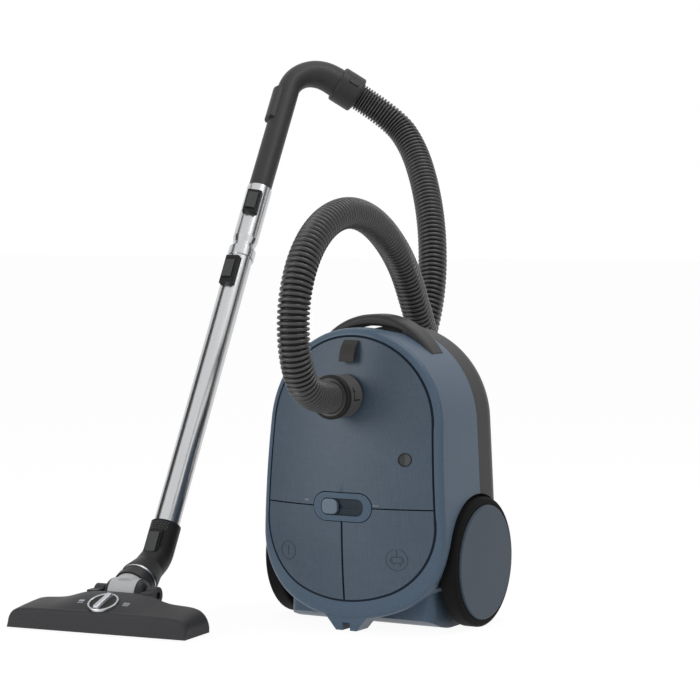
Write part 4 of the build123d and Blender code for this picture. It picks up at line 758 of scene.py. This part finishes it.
for made, finish in ((dial_ring, "satin_silver"), (dial_dish, "black_abs"),
                     (dial_pointer, "satin_silver")):
    made.data.transform(dial_seat @ dial_turn)
    settle(made, finish, "dial")
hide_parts("nozzle_dial")
print("dial ring reaches", round(max(v.co.z for v in dial_ring.data.vertices), 4), "m up")

# %% [markdown]
# ## Hose cuff
# The cuff in the inlet has a black lip where the hose goes in and an L-shaped
# slit that frees its spring catch. The lip is turned. The slit could be cut
# with a Boolean, but it is only a dark line here, so it is drawn flat and
# wrapped round the cuff.

# %% Cuff lip and catch slit
inlet_z, cuff_r = 0.302, 0.0275
lip_profile = ((0.0209, 0.1496), (0.0280, 0.1496), (0.0284, 0.1502), (0.0284, 0.1546),
               (0.0276, 0.1561), (0.0262, 0.1569), (0.0222, 0.1569), (0.0209, 0.1560),
               (0.0209, 0.1496))
lip = turned_form("cuff_lip", lip_profile, 64, closed=True)
lip.data.transform(Matrix.Translation((0, 0, inlet_z)) @ Matrix.Rotation(math.radians(90), 4, "X"))
settle(lip, "black_abs", "lid")

strokes = [flat_bar(-0.0085, 0.1404, 0.0085, 0.1420), flat_bar(-0.0085, 0.1275, -0.0069, 0.1420),
           flat_bar(0.0030, 0.1375, 0.0044, 0.1420)]
slit = joined(strokes, "catch_slit")
slit_r = cuff_r + 0.0001
for vertex in slit.data.vertices:
    turn = math.radians(8) + vertex.co.x / cuff_r
    vertex.co = (slit_r * math.cos(turn), -vertex.co.z, inlet_z + slit_r * math.sin(turn))
thicken(slit, 0.0004)
settle(slit, "navy_seal_rubber", "lid")
print("lip of", len(lip.data.polygons), "faces, slit of", len(strokes), "strokes")

# %% [markdown]
# ## Seam
# Lid and pedals sit in a navy rubber bead that runs round the whole panel. Its
# line is the panel's outline: a round crown, slightly flared sides and an
# arched foot with large corners. Edges of the CAD panel could be picked for it,
# but their points are uneven; the outline is worked out from the same sizes,
# drawn as a curve with a round bevel, made a mesh, and laid on the skin.

# %% Outline of the panel
def panel_outline(inset, count=64):
    crown, crown_z, foot, side_z, corner = 0.117, 0.261, 0.038, 0.091, 0.095
    flare = math.radians(3.0)
    r, rho = crown - inset, corner - inset
    top = Vector((r * math.cos(flare), crown_z + r * math.sin(flare)))
    low = Vector((top.x + (top.y - side_z - inset) * math.tan(flare), side_z + inset))
    rise = low.y - foot - inset
    big = (low.x ** 2 + rise ** 2) / (2 * rise)
    middle = Vector((0.0, foot + inset + big))
    inward = Vector((-math.cos(flare), -math.sin(flare)))
    down = (low - top).normalized()
    start = top + inward * rho - middle
    reach = big - rho
    half_b = start.dot(down)
    run = -half_b + math.sqrt(half_b ** 2 - start.dot(start) + reach ** 2)
    centre = middle + start + down * run
    on_side = math.atan2(*reversed(-inward))
    on_foot = math.atan2(*reversed(centre - middle))
    right_half = []
    for k in range(count):
        turn = math.radians(90) - (math.radians(90) - flare) * k / (count - 1)
        right_half.append(Vector((0, crown_z)) + r * Vector((math.cos(turn), math.sin(turn))))
    for k in range(count):
        turn = on_side + (on_foot - on_side) * k / (count - 1)
        right_half.append(centre + rho * Vector((math.cos(turn), math.sin(turn))))
    for k in range(1, count // 2):
        turn = on_foot + (math.radians(-90) - on_foot) * k / (count // 2 - 1)
        right_half.append(middle + big * Vector((math.cos(turn), math.sin(turn))))
    return right_half + [Vector((-p.x, p.y)) for p in reversed(right_half[1:-1])]


bead_inset, bead_r, bead_depth = 0.0013, 0.0020, 0.0015
bead_line = panel_outline(bead_inset)
print("bead points", len(bead_line), "lowest", round(min(p.y for p in bead_line), 4))

# %% Bead in the panel seam
bead_data = bpy.data.curves.new("seam_bead", "CURVE")
bead_data.dimensions = "3D"
bead_data.bevel_depth = bead_r
bead_data.bevel_resolution = 3
loop = bead_data.splines.new("POLY")
loop.points.add(len(bead_line) - 1)
for point, place in zip(loop.points, bead_line):
    point.co = (place.x, skin_y(place.x, place.y) + bead_depth, place.y, 1.0)
loop.use_cyclic_u = True
bead = bpy.data.objects.new("seam_bead", bead_data)
scene.collection.objects.link(bead)
clear_selection()
bead.select_set(True)
bpy.context.view_layer.objects.active = bead
bpy.ops.object.convert(target="MESH")
bead = bpy.context.object
settle(bead, "navy_seal_rubber", "canister")
print("bead has", len(bead.data.polygons), "faces")

# %% [markdown]
# ## Neck studs
# Above its button the tube socket has a patch of small round studs for the
# thumb. A bump pattern could show them, but not in outline, so one flattened
# stud is made and copied in rows round the socket.

# %% Studs on the tube socket
press_dir = lean_dir.cross(hinge_axis)
socket = Vector((-0.280476, -0.112410, 0.109))
socket_r = 0.0205
stud_r, stud_rows, stud_columns = 0.00125, 4, 7
row_first, row_pitch, column_deg = -0.0040, 0.0033, 10.5
studs = []
for row in range(stud_rows):
    for column in range(stud_columns):
        clear_selection()
        bpy.ops.mesh.primitive_uv_sphere_add(segments=10, ring_count=6, radius=stud_r)
        stud = bpy.context.object
        stud.data.transform(Matrix.Diagonal((1, 0.6, 1, 1)))
        turn = math.radians((column - stud_columns // 2 + 0.5 * (row % 2)) * column_deg)
        outward = hinge_axis * math.sin(turn) - press_dir * math.cos(turn)
        seat = socket + lean_dir * (row_first + row_pitch * row) + outward * socket_r
        stud.data.transform(axes_at(lean_dir.cross(outward), outward, lean_dir, seat))
        studs.append(stud)
thumb_patch = joined(studs, "thumb_studs")
settle(thumb_patch, "dark_button_abs", "tube")
print("studs:", len(studs))

# %% [markdown]
# ## Floor signs beside the dial
# Two small printed signs show what the dial is set for: a smooth floor on one
# side, a pile on the other. The cover has no simple formula, so they are drawn
# flat above it, and a ray from each point finds the surface below.

# %% Printed floor signs
def nozzle_point(x, y):
    """A point high above the nozzle, from its own width and depth."""
    return Vector((-0.262 + hinge_axis.x * x - hinge_axis.y * y,
                   -0.2995 + hinge_axis.y * x + hinge_axis.x * y, 0.2))


cover = nodes["nozzle_cover"]
smooth_floor = [(-0.0370, 0.0215, -0.0290, 0.0225), (-0.0370, 0.0245, -0.0290, 0.0285)]
tuft_pitch = 0.0018
deep_pile = [(0.0285 + tuft_pitch * k, 0.0235, 0.0295 + tuft_pitch * k, 0.0285) for k in range(5)]
deep_pile.append((0.0285, 0.0215, 0.0367, 0.0225))
for name, bars in (("floor_sign", smooth_floor), ("pile_sign", deep_pile)):
    sign = joined([flat_bar(*bar) for bar in bars], name)
    for vertex in sign.data.vertices:
        above = nozzle_point(vertex.co.x, vertex.co.z)
        hit, spot, normal, face = cover.ray_cast(above, Vector((0, 0, -1)))
        vertex.co = spot + normal * 0.0002
    thicken(sign, 0.0003)
    settle(sign, "pale_print", "nozzle")
    print(name, "of", len(bars), "bars")

# %% [markdown]
# ## Stage
# A pale floor under soft light. More light would make the floor white but would
# bleach the object too. So floor and world show white only to rays that look at
# them, straight or by way of metal and glass, and the floor keeps the contact
# shadow.

# %% Floor
def seen_or_mirrored(tree):
    """One for a ray that looks at the background, straight or by way of metal and glass."""
    rays = add_node(tree, "ShaderNodeLightPath")
    mirrored = add_node(tree, "ShaderNodeMath", {"operation": "MAXIMUM"},
                        {0: rays.outputs["Is Glossy Ray"], 1: rays.outputs["Is Transmission Ray"]})
    either = add_node(tree, "ShaderNodeMath", {"operation": "MAXIMUM"},
                      {0: rays.outputs["Is Camera Ray"], 1: mirrored.outputs["Value"]})
    return either.outputs["Value"]


white_share, white_level = 0.86, 1.09
clear_selection()
bpy.ops.mesh.primitive_plane_add(size=60.0, location=(0, 0, -0.0005))
floor = bpy.context.object
floor.name = "floor"
paper = bpy.data.materials.new("white_paper")
paper.use_nodes = True
tree = paper.node_tree
shader = tree.nodes["Principled BSDF"]
shader.inputs["Base Color"].default_value = linear("#F4F4F4")
shader.inputs["Roughness"].default_value = 0.9
seen = add_node(tree, "ShaderNodeMath", {"operation": "MULTIPLY", 1: white_share},
                {0: seen_or_mirrored(tree)})
glow = add_node(tree, "ShaderNodeEmission", {"Color": (1, 1, 1, 1), "Strength": white_level})
both = add_node(tree, "ShaderNodeMixShader", None,
                {0: seen.outputs["Value"], 1: shader.outputs["BSDF"], 2: glow.outputs["Emission"]})
tree.links.new(both.outputs["Shader"], tree.nodes["Material Output"].inputs["Surface"])
floor.data.materials.append(paper)
print("floor is", round(floor.dimensions.x), "m wide")

# %% [markdown]
# Lamps could be small and many; a few large ones give soft shadows and broad
# bands in the chrome. The main one stands at the left in front, and one high on
# the right lights the upper edge.

# %% World and lamps
fill_level = 0.28
world = bpy.data.worlds.new("studio")
scene.world = world
world.use_nodes = True
tree = world.node_tree
level = add_node(tree, "ShaderNodeMapRange", {"To Min": fill_level, "To Max": 1.0},
                 {"Value": seen_or_mirrored(tree)})
tree.nodes["Background"].inputs["Color"].default_value = (1, 1, 1, 1)
tree.links.new(level.outputs["Result"], tree.nodes["Background"].inputs["Strength"])


def softbox(name, place, target, size, watts):
    data = bpy.data.lights.new(name, "AREA")
    data.shape = "RECTANGLE"
    data.size, data.size_y = size
    data.energy = watts
    lamp = bpy.data.objects.new(name, data)
    lamp.location = place
    aim = Vector(target) - Vector(place)
    lamp.rotation_euler = aim.to_track_quat("-Z", "Y").to_euler()
    scene.collection.objects.link(lamp)
    print(name, watts, "W")


softbox("key_left", (-1.4, -2.4, 1.1), (0, 0, 0.25), (1.4, 1.4), 21)
softbox("fill_right", (2.4, -1.0, 1.6), (0, 0, 0.25), (1.2, 1.8), 2)
softbox("top", (0.0, 0.4, 2.4), (0.1, 0.1, 0.3), (1.2, 1.2), 4)
softbox("rim_right", (0.95, 0.2, 2.5), (0.1, 0, 0.35), (0.9, 1.2), 14)

# %% [markdown]
# Chrome shows what stands around it. Dark stripes could be painted on the tube,
# but they would stay put when it is seen from elsewhere. Two dark cards just
# outside the picture, seen by mirror reflections alone, give it darker edges.

# %% Dark cards for the chrome
card_size = (0.6, 1.6, 1)
card_black = bpy.data.materials.new("card_black")
card_black.use_nodes = True
shader = card_black.node_tree.nodes["Principled BSDF"]
shader.inputs["Base Color"].default_value = linear("#303132")
shader.inputs["Roughness"].default_value = 0.9
for name, place, turn in (("card_right", (1.10, 0.70, 0.7), 115),
                          ("card_left", (-1.10, -0.25, 0.6), 110)):
    clear_selection()
    bpy.ops.mesh.primitive_plane_add(size=1.0, location=place,
                                     rotation=(math.radians(90), 0, math.radians(turn)))
    card = bpy.context.object
    card.name = name
    card.scale = card_size
    card.data.materials.append(card_black)
    card.visible_camera = False
    card.visible_diffuse = False
    card.visible_shadow = False
    card.visible_transmission = False
print("stage set")
